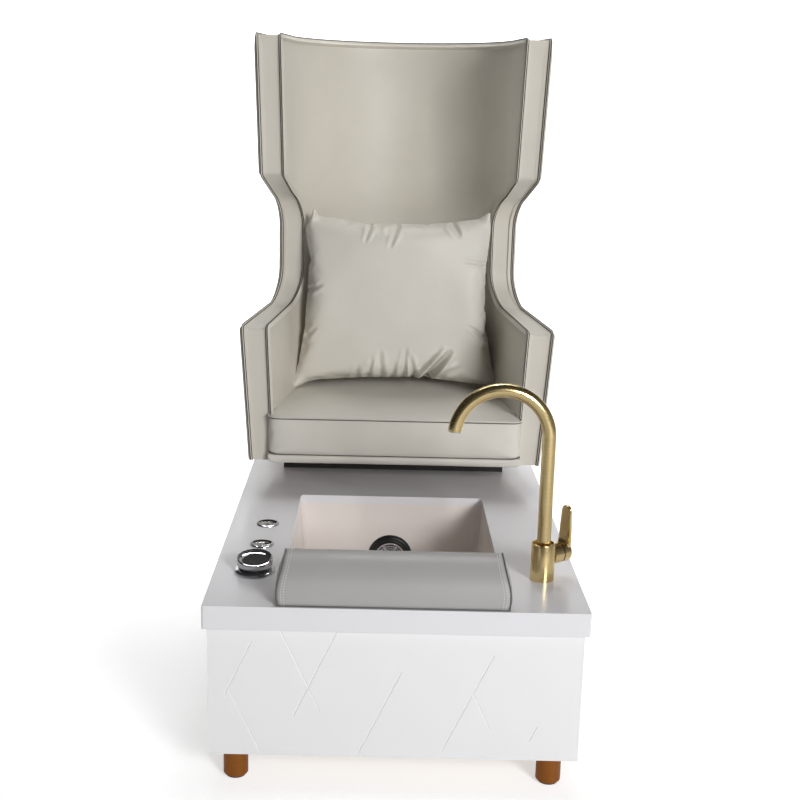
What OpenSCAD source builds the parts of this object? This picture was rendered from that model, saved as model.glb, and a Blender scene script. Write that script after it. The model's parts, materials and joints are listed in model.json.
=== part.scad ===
// Pedicure spa chair: a barrel-backed wing chair on a long white plinth that holds a foot
// tub with a water jet, a swivel-spout mixer tap, push buttons and a drain knob.
// Millimetres. +Z is up, the user faces -Y, +X is the tap's side.
// The origin is the middle of the footprint, on the floor.

/* [Worktop] */
// Width of the worktop
worktop_w = 750; // [720:5:800]
// Length of the worktop, front to back
worktop_l = 1420; // [1395:5:1500]
// Height of the worktop's upper face above the floor
worktop_z = 388; // [370:1:410]
// Thickness of the solid-surface sheet
sheet_t = 20; // [12:1:24]
// Depth of the built-up edge, sheet included
edge_h = 48; // [36:1:56]
// Width of the built-up edge
edge_w = 24; // [18:1:26]
// Radius of the worktop's upright corners
worktop_r = 4; // [2:1:12]

/* [Carcass] */
// How far the panels sit inside the worktop's edge
panel_inset = 9; // [4:1:14]
// Thickness of the carcass panels
panel_t = 18; // [15:1:19]
// Height of the panels' lower edge above the floor
panel_z = 72; // [64:1:84]
// Side of the square corner posts
post_w = 30; // [20:1:36]
// Width of the two bearers under the chair
bearer_w = 40; // [30:1:60]
// Height of the two bearers under the chair
bearer_h = 45; // [30:1:60]
// Width of the access opening in the rear panel
access_w = 140; // [120:5:145]
// Height of the access opening in the rear panel
access_h = 120; // [100:5:140]
// Border that the access cover laps over the opening
access_lap = 15; // [10:1:25]
// Thickness of the access cover
access_t = 5; // [3:0.5:6]

/* [Front grooves] */
// Width of a decorative groove at the face
groove_w = 3; // [2:0.5:5]
// Depth of a decorative groove
groove_d = 1.6; // [1:0.2:3]
// Steepness of the falling and rising grooves
groove_tilt = 65; // [60:1:72]

/* [Legs] */
// Diameter of a leg
leg_d = 50; // [40:1:60]
// Distance of the leg's axis from the worktop's side
leg_side = 58; // [52:1:70]
// Distance of the leg's axis from the worktop's end
leg_end = 63; // [58:1:80]
// Side of the square leg plate
leg_plate_w = 70; // [66:1:76]
// Thickness of the leg plate
leg_plate_t = 4; // [3:0.5:6]
// Thickness of the glide, half of it inside the leg
glide_t = 6; // [4:1:8]
// Diameter of the glide
glide_d = 40; // [30:1:44]
// Bevel round the foot of a leg
leg_bevel = 3; // [1:0.5:4]

/* [Tub] */
// Worktop left on each side of the tub opening
tub_side = 152; // [146:1:170]
// Sideways place of the tub's centre
tub_x = -6; // [-12:1:6]
// Distance from the worktop's front to the tub's front wall
tub_front = 176; // [168:1:220]
// Gap between the tub's back wall and the arms' front, seen from above
tub_chair_gap = 89; // [80:1:110]
// Depth of the tub's floor below the worktop's upper face
tub_depth = 238; // [215:1:244]
// Wall thickness of the tub
tub_t = 5; // [4:0.5:6]
// How far the side and front walls lean in at the floor
tub_lean = 16; // [8:1:30]
// Radius of the worktop's cut-out round the tub
tub_r = 12; // [8:1:30]
// Radius where the tub's walls meet its floor
tub_floor_r = 18; // [10:1:30]
// Width of the tub's flange under the sheet
tub_flange_w = 25; // [15:1:26]
// Thickness of the tub's flange
tub_flange_t = 6; // [4:1:8]

/* [Drain] */
// Distance from the worktop's front to the drain
drain_y = 470; // [440:1:520]
// Diameter of the drain flange
drain_flange_d = 70; // [64:1:80]
// Thickness of the drain flange
drain_flange_t = 3; // [2:0.5:4]
// Outer diameter of the drain tail
drain_tail_d = 46; // [42:1:50]
// Wall of the drain tail
drain_wall = 3; // [2:0.5:4]
// Diameter of the plug's head
plug_d = 56; // [50:1:60]
// Diameter of the plug's stem
plug_stem_d = 8; // [6:1:10]
// How far the plug lifts
plug_lift = 12; // [8:1:16]
// Length of the drain tail below the tub's floor
drain_tail_l = 40; // [34:1:44]
// Depth of the coupling's collar over the tail
drain_collar_l = 18; // [12:1:20]
// Outer diameter of the waste pipe
waste_d = 40; // [32:1:42]
// Height of the waste pipe's end above the floor
waste_z = 28; // [20:1:40]
// Diameter of the cable that lifts the plug
cable_d = 6; // [4:1:7]
// Bend radius of that cable
cable_bend = 45; // [35:1:60]

/* [Water jet] */
// Height of the jet's axis above the floor
jet_z = 233; // [225:1:250]
// Diameter of the jet's black face ring
jet_ring_d = 110; // [104:1:120]
// How far the face ring stands off the tub wall
jet_ring_t = 9; // [7:1:12]
// Diameter of the threaded neck behind the wall
jet_neck_d = 84; // [82:1:90]
// Length of the neck behind the tub's inner wall face
jet_neck_l = 36; // [32:1:45]
// Diameter of the slotted cover
jet_cover_d = 75; // [70:1:77]
// Thickness of the slotted cover
jet_cover_t = 5; // [4:0.5:6]
// Number of rings of slots in the cover
jet_slot_rings = 4; // [2:1:4]
// Number of ribs across those slots
jet_ribs = 6; // [4:1:10]
// Diameter of the impeller
impeller_d = 60; // [50:1:64]
// Number of impeller blades
impeller_blades = 6; // [4:1:8]
// Diameter of the jet motor
motor_d = 92; // [80:1:100]
// Length of the jet motor
motor_l = 70; // [50:1:90]

/* [Push buttons] */
// Distance from the worktop's side to the buttons and the knob
control_side = 84; // [79:1:90]
// Distance from the worktop's front to the front button
button_front_y = 354; // [330:1:380]
// Distance from the worktop's front to the rear button
button_rear_y = 493; // [460:1:530]
// Diameter of a button's bezel
bezel_d = 52; // [48:1:58]
// How far a bezel stands above the worktop
bezel_t = 3; // [2:0.5:5]
// Diameter of a button's cap
cap_d = 37; // [34:1:38]
// Travel of a button
button_travel = 3.5; // [2:0.5:4.5]
// Depth of the dish in a cap
cap_dish = 3; // [2:0.5:3.5]
// Diameter of the threaded neck below a bezel and below the knob
neck_d = 44; // [42:1:46]
// Length of that neck below the worktop's upper face
neck_l = 46; // [40:1:52]

/* [Drain knob] */
// Distance from the worktop's front to the knob
knob_y = 196; // [180:1:230]
// Diameter of the knob's base flange
knob_flange_d = 85; // [78:1:92]
// Thickness of the knob's base flange
knob_flange_t = 6; // [4:0.5:8]
// Diameter of the knob
knob_d = 74; // [66:1:77]
// Height of the knob at its high side
knob_h = 26; // [20:1:34]
// Slope of the knob's top
knob_slope = 9; // [0:1:12]
// Diameter of the knob's spindle
spindle_d = 12; // [10:1:16]

/* [Tap] */
// Distance from the worktop's side to the tap's axis
tap_side = 75; // [71:1:87]
// Distance from the worktop's front to the tap's axis
tap_y = 182; // [170:1:230]
// Diameter of the tap's body
tap_body_d = 49; // [46:1:54]
// Height of the tap's body
tap_body_h = 78; // [74:1:90]
// Outer diameter of the spout tube
spout_d = 28; // [26:1:30]
// Wall of the spout tube
spout_wall = 2; // [1.5:0.5:3]
// Height of the spout's crown above the worktop
spout_h = 409; // [380:1:430]
// Sideways reach of the spout, axis to outlet
spout_reach = 190; // [170:1:210]
// Angle that the spout's bow covers
spout_bow = 174; // [165:1:180]
// Depth of the spout's foot inside the body
spout_seat = 26; // [20:1:28]
// Diameter of the side neck that holds the cartridge
side_neck_d = 42; // [41:0.5:44]
// Height of the side neck's axis above the worktop
side_neck_z = 50; // [46:1:52]
// Reach of the side neck from the tap's axis
side_neck_l = 42; // [41:1:46]
// How far the side neck points backwards
side_neck_turn = 36; // [10:1:45]
// Wall of the cup at the side neck's end
cup_wall = 1.2; // [1:0.1:1.6]
// Depth of that cup
cup_depth = 8; // [7:0.5:9]
// Gap between the side neck and the lever's hub
hub_gap = 2.5; // [2.2:0.1:3.5]
// Diameter of the cartridge
cartridge_d = 34; // [30:1:35]
// Diameter of the mixer's stem
stem_d = 12; // [10:1:14]
// Length of the lever's hub
lever_hub_l = 20; // [16:1:24]
// Height of the lever's tip above the worktop
lever_tip_z = 148; // [140:1:170]
// Width of the lever at its root
lever_root_w = 32; // [24:1:38]
// Width of the lever at its tip
lever_tip_w = 18; // [12:1:24]
// Thickness of the lever's blade
lever_t = 8; // [6:1:10]
// Diameter of the tap's shank below the worktop
shank_d = 32; // [30:1:34]
// Length of the shank below the worktop's upper face
shank_l = 60; // [50:1:70]
// Outer diameter of a supply hose
hose_d = 12; // [10:1:14]
// Distance between the two supply hoses at the tap
hose_gap = 17; // [16:1:18]
// Distance between the two supply inlets
inlet_gap = 44; // [38:1:46]
// Outer diameter of a supply inlet
inlet_d = 15; // [12:1:15]
// Height of the supply inlets' ends above the floor
inlet_z = 34; // [24:1:50]

/* [Footrest] */
// How much narrower the footrest pad is than the tub opening
footrest_less = 2; // [0:1:20]
// Depth of the footrest pad
footrest_l = 140; // [120:1:150]
// Height of the footrest pad above the worktop
footrest_h = 100; // [90:1:120]
// Distance from the worktop's front to the pad
footrest_front = 5; // [2:1:12]
// Thickness of the footrest's board
footrest_board_t = 15; // [12:1:18]

/* [Chair shell] */
// Height of the chair's top above the floor
chair_top = 1490; // [1440:5:1540]
// Gap between the worktop and the chair's underside
chair_gap = 62; // [50:1:75]
// Distance from the arms' front to the barrel's axis
arm_reach = 235; // [215:1:245]
// Overall width of the chair at the arms' front
chair_w = 768; // [740:2:790]
// Outer radius of the barrel back
barrel_r = 340; // [320:1:350]
// Distance from the barrel back to the worktop's back
chair_back_gap = 35; // [10:1:60]
// Thickness of the upholstered shell at the arms
shell_front_t = 62; // [54:1:70]
// Thickness of the upholstered shell at the back
shell_back_t = 54; // [46:1:62]
// Thickness of the outer cover with its wadding
cover_t = 10; // [6:1:14]
// Thickness of the timber shell frame
frame_t = 18; // [15:1:22]
// Thickness of the border over the frame's edge
border_t = 14; // [10:1:20]
// Height of the arm at its front
arm_z = 790; // [760:1:820]
// How far the outside of each arm leans in at its foot
arm_taper = 22; // [0:1:30]
// Rise of the arm's top towards the waist
arm_rise = 18; // [0:1:30]
// Distance from the arm's front to the waist
waist_depth = 365; // [330:1:380]
// Height of the waist's upper corner
waist_z = 1070; // [1050:1:1090]
// Radius of the waist's lower and upper corners
waist_r = 95; // [60:1:110]
// Height of the wing's lower corner
wing_z = 1150; // [1130:1:1180]
// Distance from the arm's front to the wing's lower corner
wing_back = 185; // [160:1:210]
// How far the wing leans forward at the top
wing_lean = 45; // [20:1:70]

/* [Seat] */
// Width of the seat cushion at its front
cushion_w = 630; // [600:2:636]
// How far the cushion stands in front of the arms
cushion_proud = 38; // [20:1:50]
// Thickness of the seat cushion
cushion_h = 106; // [90:1:120]
// Distance between the cushion's front and the seat rail's front
rail_set = 12; // [6:1:20]
// Depth of the upholstered seat rail
rail_d = 40; // [24:1:44]
// Width of the timber seat frame's members
seat_frame_w = 45; // [35:1:60]
// Thickness of the timber seat frame
seat_frame_t = 20; // [16:1:22]
// Width of the elastic straps
strap_w = 50; // [40:5:60]
// Thickness of the elastic straps
strap_t = 2; // [1:0.5:3]
// Number of lengthwise straps
straps_long = 5; // [3:1:5]
// Number of cross straps
straps_cross = 3; // [1:1:4]
// Width of the riser under the chair
riser_w = 580; // [560:5:600]
// Length of the riser under the chair
riser_l = 310; // [280:5:330]
// Distance from the arms' front back to the riser
riser_set = 150; // [130:5:170]
// Thickness of the riser's boards
riser_t = 22; // [18:1:28]

/* [Services] */
// Width of the control box
control_box_w = 160; // [120:5:200]
// Length of the control box
control_box_l = 110; // [80:5:140]
// Height of the control box
control_box_h = 60; // [40:2:90]
// Distance from the worktop's back to the control box
control_box_set = 420; // [330:10:470]
// Diameter of the gland's passage for the lead
gland_bore = 8; // [6:0.5:10]
// Diameter of the gland's thread
gland_d = 16; // [14:1:20]
// Distance from the side panel to the gland
gland_side = 88; // [88:1:150]
// Height of the gland above the floor
gland_z = 112; // [104:1:130]

/* [Pillow] */
// Width of the pillow
pillow_w = 470; // [420:2:480]
// Height of the pillow
pillow_h = 455; // [420:1:480]
// Thickness of the pillow at its middle
pillow_t = 140; // [110:1:150]
// Thickness of the pillow at its edges
pillow_edge_t = 12; // [8:1:30]
// Distance from the arms' front back to the pillow's foot
pillow_set = 325; // [300:1:335]
// Backward lean of the pillow
pillow_lean = 5; // [0:1:7]

/* [Fits] */
// Radial clearance of a turning or sliding fit
run_fit = 0.06; // [0.03:0.01:0.09]
// Gap at a loose seat
seat_fit = 0.3; // [0.2:0.1:0.6]
// Gap round a hole that only passes a neck or pipe
pass_fit = 1; // [0.5:0.1:2]

/* [Hidden] */
$fn = 64;
eps = 0.01;
front_y = -worktop_l / 2;
sheet_z = worktop_z - sheet_t;
edge_z = worktop_z - edge_h;
panel_h = edge_z - panel_z;
panel_w = worktop_w - 2 * panel_inset;
carcass_w = panel_w - 2 * panel_t;
carcass_front = front_y + panel_inset + panel_t;
carcass_back = -carcass_front;
board_z = panel_z + panel_t;
tub_floor = worktop_z - tub_depth;
barrel_cy = worktop_l / 2 - chair_back_gap - barrel_r;
arm_y = barrel_cy - arm_reach;
tub_w = worktop_w - 2 * tub_side;
tub_front_y = front_y + tub_front;
tub_back_y = arm_y - tub_chair_gap;
tub_l = tub_back_y - tub_front_y;
control_x = control_side - worktop_w / 2;
tap_x = worktop_w / 2 - tap_side;
gland_x = gland_side - carcass_w / 2;
footrest_w = tub_w - footrest_less;
chair_z = worktop_z + chair_gap;
cushion_y = arm_y - cushion_proud;
riser_y = arm_y + riser_set;
cushion_low = chair_z + seat_frame_t + 2 * strap_t + seat_fit;
cushion_top = cushion_low + cushion_h;
M8 = 8;
M10 = 10;
half_w = chair_w / 2;
inner_hw = half_w - shell_front_t;
inner_r = barrel_r - shell_back_t;
waist_y = arm_y + waist_depth;
rail_back = cushion_y + rail_set + rail_d;
riser_board_ys = [riser_y + riser_t / 2, riser_y + riser_l - riser_t / 2];
footrest_mid = footrest_front + footrest_l / 2;
footrest_set = 4;
drain_cy = front_y + drain_y;
access_z = board_z + 20;
vent_n = 8;
vent_w = 5;
vent_h = 60;
vent_pitch = 14;
screw_d = 4;
screw_head_d = 8;
screw_head_t = 2.2;
screw_edge = 10;
leg_screw_l = leg_plate_t + panel_t - 4;
access_screw_l = access_t + panel_t - 4;
footrest_screw_l = sheet_t + footrest_board_t - 3;
guide_z = 24;
guide_h = 10;
drain_nut_h = 9;
cable_z = tub_floor - drain_tail_l + drain_collar_l + cable_d / 2 + 0.5;
waste_body_d = waste_d + 4;
jet_cover_proud = 1;
jet_bead_w = 3;
jet_groove_w = 2;
jet_groove_d = 1.5;
jet_bevel_w = 6;
jet_rim_t = 3;
jet_face_t = 1.5;
jet_chamber_lip = 3;
jet_end_t = 5;
jet_nut_h = 10;
jet_nut_w = 10;
jet_notch_d = 6;
jet_boss_d = 20;
jet_boss_h = 1;
jet_slot_w = 3;
jet_slot_pitch = 6;
jet_slot_gap = 2;
jet_rib_w = 4;
jet_cover_wall = 4;
jet_pin_gap = 2;
motor_step = 5;
motor_end = 12;
motor_fin_w = 3;
motor_fin_h = 4;
box_r = 6;
box_lip = 3;
box_gland_l = 10;
gland_collar = 5;
gland_flange = 8;
impeller_pin_d = 6;
impeller_hub_d = 16;
blade_t = 2.5;
nipple_d = 6;
nipple_l = 10;
neck_floor = 3;
neck_nut_h = 8;
nut_w = 9;
cap_h = 16;
cap_rim = 1.5;
bellows_n = 4;
bellows_out = 3;
bellows_in = 7;
flange_bevel = 2;
knob_dish = 4;
knob_rim = 4;
knob_waist = 4;
drum_d = 36;
drum_h = 10;
drum_z = worktop_z - neck_l - drum_h - 1;
tap_collar = 1.5;
tap_rim = 3;
tap_recess = 4;
aerator_l = 10;
aerator_lip = 1.5;
hub_round = 4;
hub_play = 0.8;
pin_grip = 3;
cartridge_x = tap_body_d / 2 - 7;
cartridge_l = side_neck_l - cup_depth - cartridge_x - seat_fit;
pivot_x = side_neck_l + hub_gap + 11;
pivot_pin_d = 4;
lever_tilt_max = 15;
inlet_top = 28;
inlet_bore = 10;
inlet_body_d = inlet_d + 5;
inlet_plate_w = 84;
inlet_plate_l = 28;
inlet_plate_t = 6;
ferrule_l = 14;
ferrule_d = hose_d + 4;
hose_grip = 4;
rail_side_gap = 3;
rail_r = 8;
bolt_side = 52;
bolt_head_d = 13;
bolt_head_h = 5;
bolt_reach = 50;
strap_pitch_x = 92;
strap_pitch_y = 95;
cushion_back_gap = 1;
barrel_n = 48;
fillet_n = 10;
// Front grooves as shares of the panel: foot from the middle, height of foot and top, way it leans.
grooves = [[-0.454, 0.478, 0.903, 1], [-0.361, 0.034, 0.519, -1], [-0.199, 0.358, 1, -1],
           [-0.27, 0.321, 1, 1], [-0.097, 0.011, 0.687, 1], [0.131, 0.06, 0.825, 1],
           [0.258, 0.246, 0.522, -1], [0.365, 0.153, 0.276, 1]];

// ---------- shared shapes ----------

// Box from its low corner.
module box(x, y, z, w, l, h) {
  translate([x, y, z]) cube([w, l, h]);
}

// Upright plate with round upright corners, centred on X, from its front edge.
module round_plate(w, l, h, r) {
  linear_extrude(h) {
    translate([-w / 2 + r, 0]) square([w - 2 * r, l]);
    translate([-w / 2, r]) square([w, l - 2 * r]);
    for (x = [-w / 2 + r, w / 2 - r], y = [r, l - r]) translate([x, y]) circle(r);
  }
}

// Places its children at the four leg positions.
module at_legs() {
  for (x = [-1, 1], y = [-1, 1])
    translate([x * (worktop_w / 2 - leg_side), y * (worktop_l / 2 - leg_end), 0]) children();
}

// Turns a shape made along +Z so that it runs along +Y.
module along_y() {
  rotate([-90, 0, 0]) children();
}

// Turns a shape made along +Z so that it runs along +X.
module along_x() {
  rotate([0, 90, 0]) children();
}

// ---------- plinth ----------

module worktop() {
  hollow_w = worktop_w - 2 * edge_w;
  hollow_l = worktop_l - 2 * edge_w;
  color("whitesmoke") difference() {
    translate([0, front_y, edge_z]) round_plate(worktop_w, worktop_l, edge_h, worktop_r);
    box(-hollow_w / 2, front_y + edge_w, edge_z - 1, hollow_w, hollow_l, edge_h - sheet_t + 1);
    translate([tub_x, tub_front_y, sheet_z - 1]) round_plate(tub_w, tub_l, sheet_t + 2, tub_r);
    for (y = [knob_y, button_front_y, button_rear_y])
      translate([control_x, front_y + y, sheet_z - 1]) cylinder(d = neck_d + 2 * pass_fit, h = sheet_t + 2);
    translate([tap_x, front_y + tap_y, sheet_z - 1]) cylinder(d = shank_d + 2 * pass_fit, h = sheet_t + 2);
    riser_bolt_shanks();
    footrest_screw_shanks();
  }
}

// One V-shaped groove from its foot, rising to the right (1) or to the left (-1).
module groove(x, low, high, way) {
  run = (high - low) * panel_h / sin(groove_tilt);
  translate([x * panel_w, front_y + panel_inset, panel_z + low * panel_h])
    rotate([0, way * (90 - groove_tilt), 0]) linear_extrude(run) polygon([[-groove_w / 2, -eps], [groove_w / 2, -eps], [0, groove_d]]);
}

module front_panel() {
  color("white") difference() {
    box(-panel_w / 2, front_y + panel_inset, panel_z, panel_w, panel_t, panel_h);
    for (g = grooves) groove(g[0], g[1], g[2], g[3]);
  }
}

module side_panel(side) {
  x = side > 0 ? carcass_w / 2 : -panel_w / 2;
  color("white") box(x, carcass_front, panel_z, panel_t, carcass_back - carcass_front, panel_h);
}

module rear_panel() {
  color("white") difference() {
    box(-panel_w / 2, carcass_back, panel_z, panel_w, panel_t, panel_h);
    box(-access_w / 2, carcass_back - 1, access_z, access_w, panel_t + 2, access_h);
    translate([gland_x, carcass_back - 1, gland_z]) along_y() cylinder(d = gland_d + 2 * seat_fit, h = panel_t + 2);
    access_screw_shanks();
  }
}

module access_cover() {
  w = access_w + 2 * access_lap;
  h = access_h + 2 * access_lap;
  color("gainsboro") difference() {
    box(-w / 2, carcass_back + panel_t, access_z - access_lap, w, access_t, h);
    access_screw_shanks();
    for (x = [-vent_n / 2 : vent_n / 2 - 1])
      box((x + 0.5) * vent_pitch - vent_w / 2, carcass_back, access_z + access_h / 2 - vent_h / 2,
          vent_w, 2 * panel_t, vent_h);
  }
}

// Wood screw along +Z: its head's seat is at z = 0 and its tip at z = l.
module screw(l) {
  translate([0, 0, -screw_head_t]) cylinder(d = screw_head_d, h = screw_head_t);
  cylinder(d = screw_d, h = l);
}

module at_leg_screws() {
  reach = leg_plate_w / 2 - screw_edge;
  at_legs() for (x = [-reach, reach], y = [-reach, reach])
    translate([x, y, panel_z - leg_plate_t]) children();
}

module at_access_screws() {
  for (x = [-1, 1], z = [-1, 1])
    translate([x * (access_w + access_lap) / 2, carcass_back + panel_t + access_t,
               access_z + access_h / 2 + z * (access_h + access_lap) / 2]) rotate([90, 0, 0]) children();
}

module at_footrest_screws() {
  for (x = [-1, 1])
    translate([tub_x + x * footrest_w / 3, front_y + footrest_mid, sheet_z]) children();
}

module leg_screw_shanks() {
  at_leg_screws() cylinder(d = screw_d, h = leg_screw_l);
}

module access_screw_shanks() {
  at_access_screws() translate([0, 0, -1]) cylinder(d = screw_d, h = access_screw_l + 1);
}

module footrest_screw_shanks() {
  at_footrest_screws() cylinder(d = screw_d, h = footrest_screw_l);
}

module panel_screws() {
  color("silver") {
    at_leg_screws() screw(leg_screw_l);
    at_access_screws() screw(access_screw_l);
    at_footrest_screws() screw(footrest_screw_l);
  }
}

module base_board() {
  color("burlywood") difference() {
    box(-carcass_w / 2, carcass_front, panel_z, carcass_w, carcass_back - carcass_front, panel_t);
    at_legs() translate([0, 0, panel_z - 1]) cylinder(d = M10 + 2 * pass_fit, h = panel_t + 2);
    leg_screw_shanks();
    translate([tub_x, drain_cy, panel_z - 1]) cylinder(d = waste_body_d + 2 * pass_fit, h = panel_t + 2);
    at_inlets() translate([0, 0, panel_z - 1]) cylinder(d = inlet_body_d + 2 * seat_fit, h = panel_t + 2);
  }
}

module corner_posts() {
  color("burlywood") for (x = [-carcass_w / 2, carcass_w / 2 - post_w],
                          y = [carcass_front, carcass_back - post_w])
    box(x, y, board_z, post_w, post_w, sheet_z - board_z);
}

module chair_bearers() {
  color("burlywood") difference() {
    for (y = riser_board_ys)
      box(-carcass_w / 2, y - bearer_w / 2, sheet_z - bearer_h, carcass_w, bearer_w, bearer_h);
    riser_bolt_shanks();
  }
}

// Leg on its own axis: bevelled foot, recess for the glide and a stud on top.
module leg() {
  foot_z = glide_t / 2;
  top_z = panel_z - leg_plate_t;
  color("peru") difference() {
    union() {
      translate([0, 0, foot_z]) cylinder(d1 = leg_d - 2 * leg_bevel, d2 = leg_d, h = leg_bevel);
      translate([0, 0, foot_z + leg_bevel]) cylinder(d = leg_d, h = top_z - foot_z - leg_bevel);
      translate([0, 0, top_z]) cylinder(d = M10, h = leg_plate_t + panel_t / 2);
    }
    translate([0, 0, foot_z - 1]) cylinder(d = glide_d + 2 * seat_fit, h = foot_z + 1);
  }
}

module leg_at(x, y) {
  translate([x * (worktop_w / 2 - leg_side), y * (worktop_l / 2 - leg_end), 0]) leg();
}

module leg_plates() {
  color("dimgray") difference() {
    at_legs() translate([-leg_plate_w / 2, -leg_plate_w / 2, panel_z - leg_plate_t])
      cube([leg_plate_w, leg_plate_w, leg_plate_t]);
    at_legs() translate([0, 0, panel_z - leg_plate_t - 1]) cylinder(d = M10 + seat_fit, h = leg_plate_t + 2);
    leg_screw_shanks();
  }
}

module leg_glides() {
  color("black") at_legs() cylinder(d = glide_d, h = glide_t);
}

// ---------- tub and drain ----------

// Outline of the tub's space across or along it: from a to b at the rim, its two walls
// leaning in by lean_a and lean_b at the floor, where the corners are round.
module tub_profile(a, b, lean_a, lean_b, wall, over) {
  low = tub_floor - wall;
  foot_a = [a + lean_a, low];
  foot_b = [b - lean_b, low];
  polygon(concat([[b, sheet_z + over], [a, sheet_z + over]],
                 fillet([a, sheet_z], foot_a, foot_b, tub_floor_r + wall),
                 fillet(foot_a, foot_b, [b, sheet_z], tub_floor_r + wall)));
}

// Space of the tub, grown by a wall: its back wall is upright, the other three lean in.
module tub_space(wall, over) {
  hw = tub_w / 2 + wall;
  intersection() {
    translate([0, tub_back_y + wall + 1, 0]) rotate([90, 0, 0]) linear_extrude(tub_l + 2 * wall + 2)
      translate([tub_x, 0]) tub_profile(-hw, hw, tub_lean, tub_lean, wall, over);
    translate([tub_x - hw - 1, 0, 0]) rotate([90, 0, 90]) linear_extrude(2 * hw + 2)
      tub_profile(tub_front_y - wall, tub_back_y + wall, tub_lean, 0, wall, over);
  }
}

module tub() {
  color("seashell") difference() {
    union() {
      translate([tub_x, tub_front_y - tub_flange_w, sheet_z - tub_flange_t])
        round_plate(tub_w + 2 * tub_flange_w, tub_l + 2 * tub_flange_w, tub_flange_t, tub_r);
      tub_space(tub_t, 0);
    }
    tub_space(0, 1);
    translate([tub_x, drain_cy, tub_floor - 2 * tub_t]) cylinder(d = drain_tail_d + 2 * seat_fit, h = 3 * tub_t);
    at_jet() translate([0, 0, -tub_t]) cylinder(d = jet_neck_d + 2 * seat_fit, h = 3 * tub_t);
  }
}

module at_drain(z) {
  translate([tub_x, drain_cy, z]) children();
}

module drain_body() {
  bore_d = drain_tail_d - 2 * drain_wall;
  color("silver") at_drain(tub_floor) {
    difference() {
      union() {
        cylinder(d1 = drain_flange_d, d2 = drain_flange_d - drain_flange_t, h = drain_flange_t);
        translate([0, 0, -drain_tail_l]) cylinder(d = drain_tail_d, h = drain_tail_l);
      }
      translate([0, 0, -drain_tail_l - 1]) cylinder(d = bore_d, h = drain_tail_l + drain_flange_t + 2);
    }
    // cross that guides the plug's stem
    translate([0, 0, -guide_z]) difference() {
      intersection() {
        union() {
          cylinder(d = plug_stem_d + 2 * drain_wall, h = guide_h);
          for (a = [0, 90]) rotate(a)
            translate([-bore_d, -drain_wall / 2, 0]) cube([2 * bore_d, drain_wall, guide_h]);
        }
        cylinder(d = bore_d + drain_wall, h = guide_h);
      }
      translate([0, 0, -1]) cylinder(d = plug_stem_d + 2 * run_fit, h = guide_h + 2);
    }
  }
}

module drain_nut() {
  color("dimgray") at_drain(tub_floor - tub_t - drain_nut_h) difference() {
    cylinder(d = drain_flange_d, h = drain_nut_h, $fn = 8);
    translate([0, 0, -1]) cylinder(d = drain_tail_d + 2 * seat_fit, h = drain_nut_h + 2);
  }
}

module drain_plug() {
  dome_h = plug_d / 10;
  dome_r = (pow(plug_d / 2, 2) + pow(dome_h, 2)) / (2 * dome_h);
  color("silver") at_drain(tub_floor + drain_flange_t + seat_fit) {
    intersection() {
      cylinder(d = plug_d, h = dome_h);
      translate([0, 0, dome_h - dome_r]) sphere(dome_r, $fn = 128);
    }
    translate([0, 0, -guide_z - plug_lift - seat_fit]) cylinder(d = plug_stem_d, h = guide_z + plug_lift + 1);
  }
}

module waste_pipe() {
  tail_low = tub_floor - drain_tail_l;
  collar_d = drain_tail_d + 2 * seat_fit;
  color("gray") difference() {
    union() {
      at_drain(tail_low) cylinder(d = collar_d + 2 * drain_wall, h = drain_collar_l);
      at_drain(tail_low - drain_wall) cylinder(d = collar_d + 2 * drain_wall, h = drain_wall);
      at_drain(waste_z) cylinder(d = waste_d, h = tail_low - waste_z);
      at_drain(panel_z) cylinder(d = waste_body_d, h = tail_low - panel_z);
    }
    at_drain(tail_low) cylinder(d = collar_d, h = drain_collar_l + 1);
    at_drain(waste_z - 1) cylinder(d = waste_d - 2 * drain_wall, h = tail_low - waste_z + 2);
  }
}

// Quarter bend in the local XY plane, from +X round to +Y.
module quarter_bend(radius, d) {
  rotate_extrude(angle = 90) translate([radius, 0]) circle(d = d, $fn = 24);
}

module drain_cable() {
  y0 = front_y + knob_y;
  color("black") {
    translate([control_x, y0, cable_z + cable_bend])
      cylinder(d = cable_d, h = drum_z - seat_fit - cable_z - cable_bend, $fn = 24);
    translate([control_x, y0 + cable_bend, cable_z + cable_bend]) rotate([90, 0, 90]) rotate(180)
      quarter_bend(cable_bend, cable_d);
    translate([control_x, y0 + cable_bend, cable_z]) along_y()
      cylinder(d = cable_d, h = drain_cy - y0 - 2 * cable_bend, $fn = 24);
    translate([control_x + cable_bend, drain_cy - cable_bend, cable_z]) rotate(90)
      quarter_bend(cable_bend, cable_d);
    translate([control_x + cable_bend, drain_cy, cable_z]) along_x()
      cylinder(d = cable_d, h = tub_x - drain_tail_d / 2 - control_x - cable_bend, $fn = 24);
  }
}

// ---------- water jet, made along +Z with z = 0 at the tub's wall ----------

module at_jet() {
  translate([tub_x, tub_back_y, jet_z]) along_y() children();
}

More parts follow.
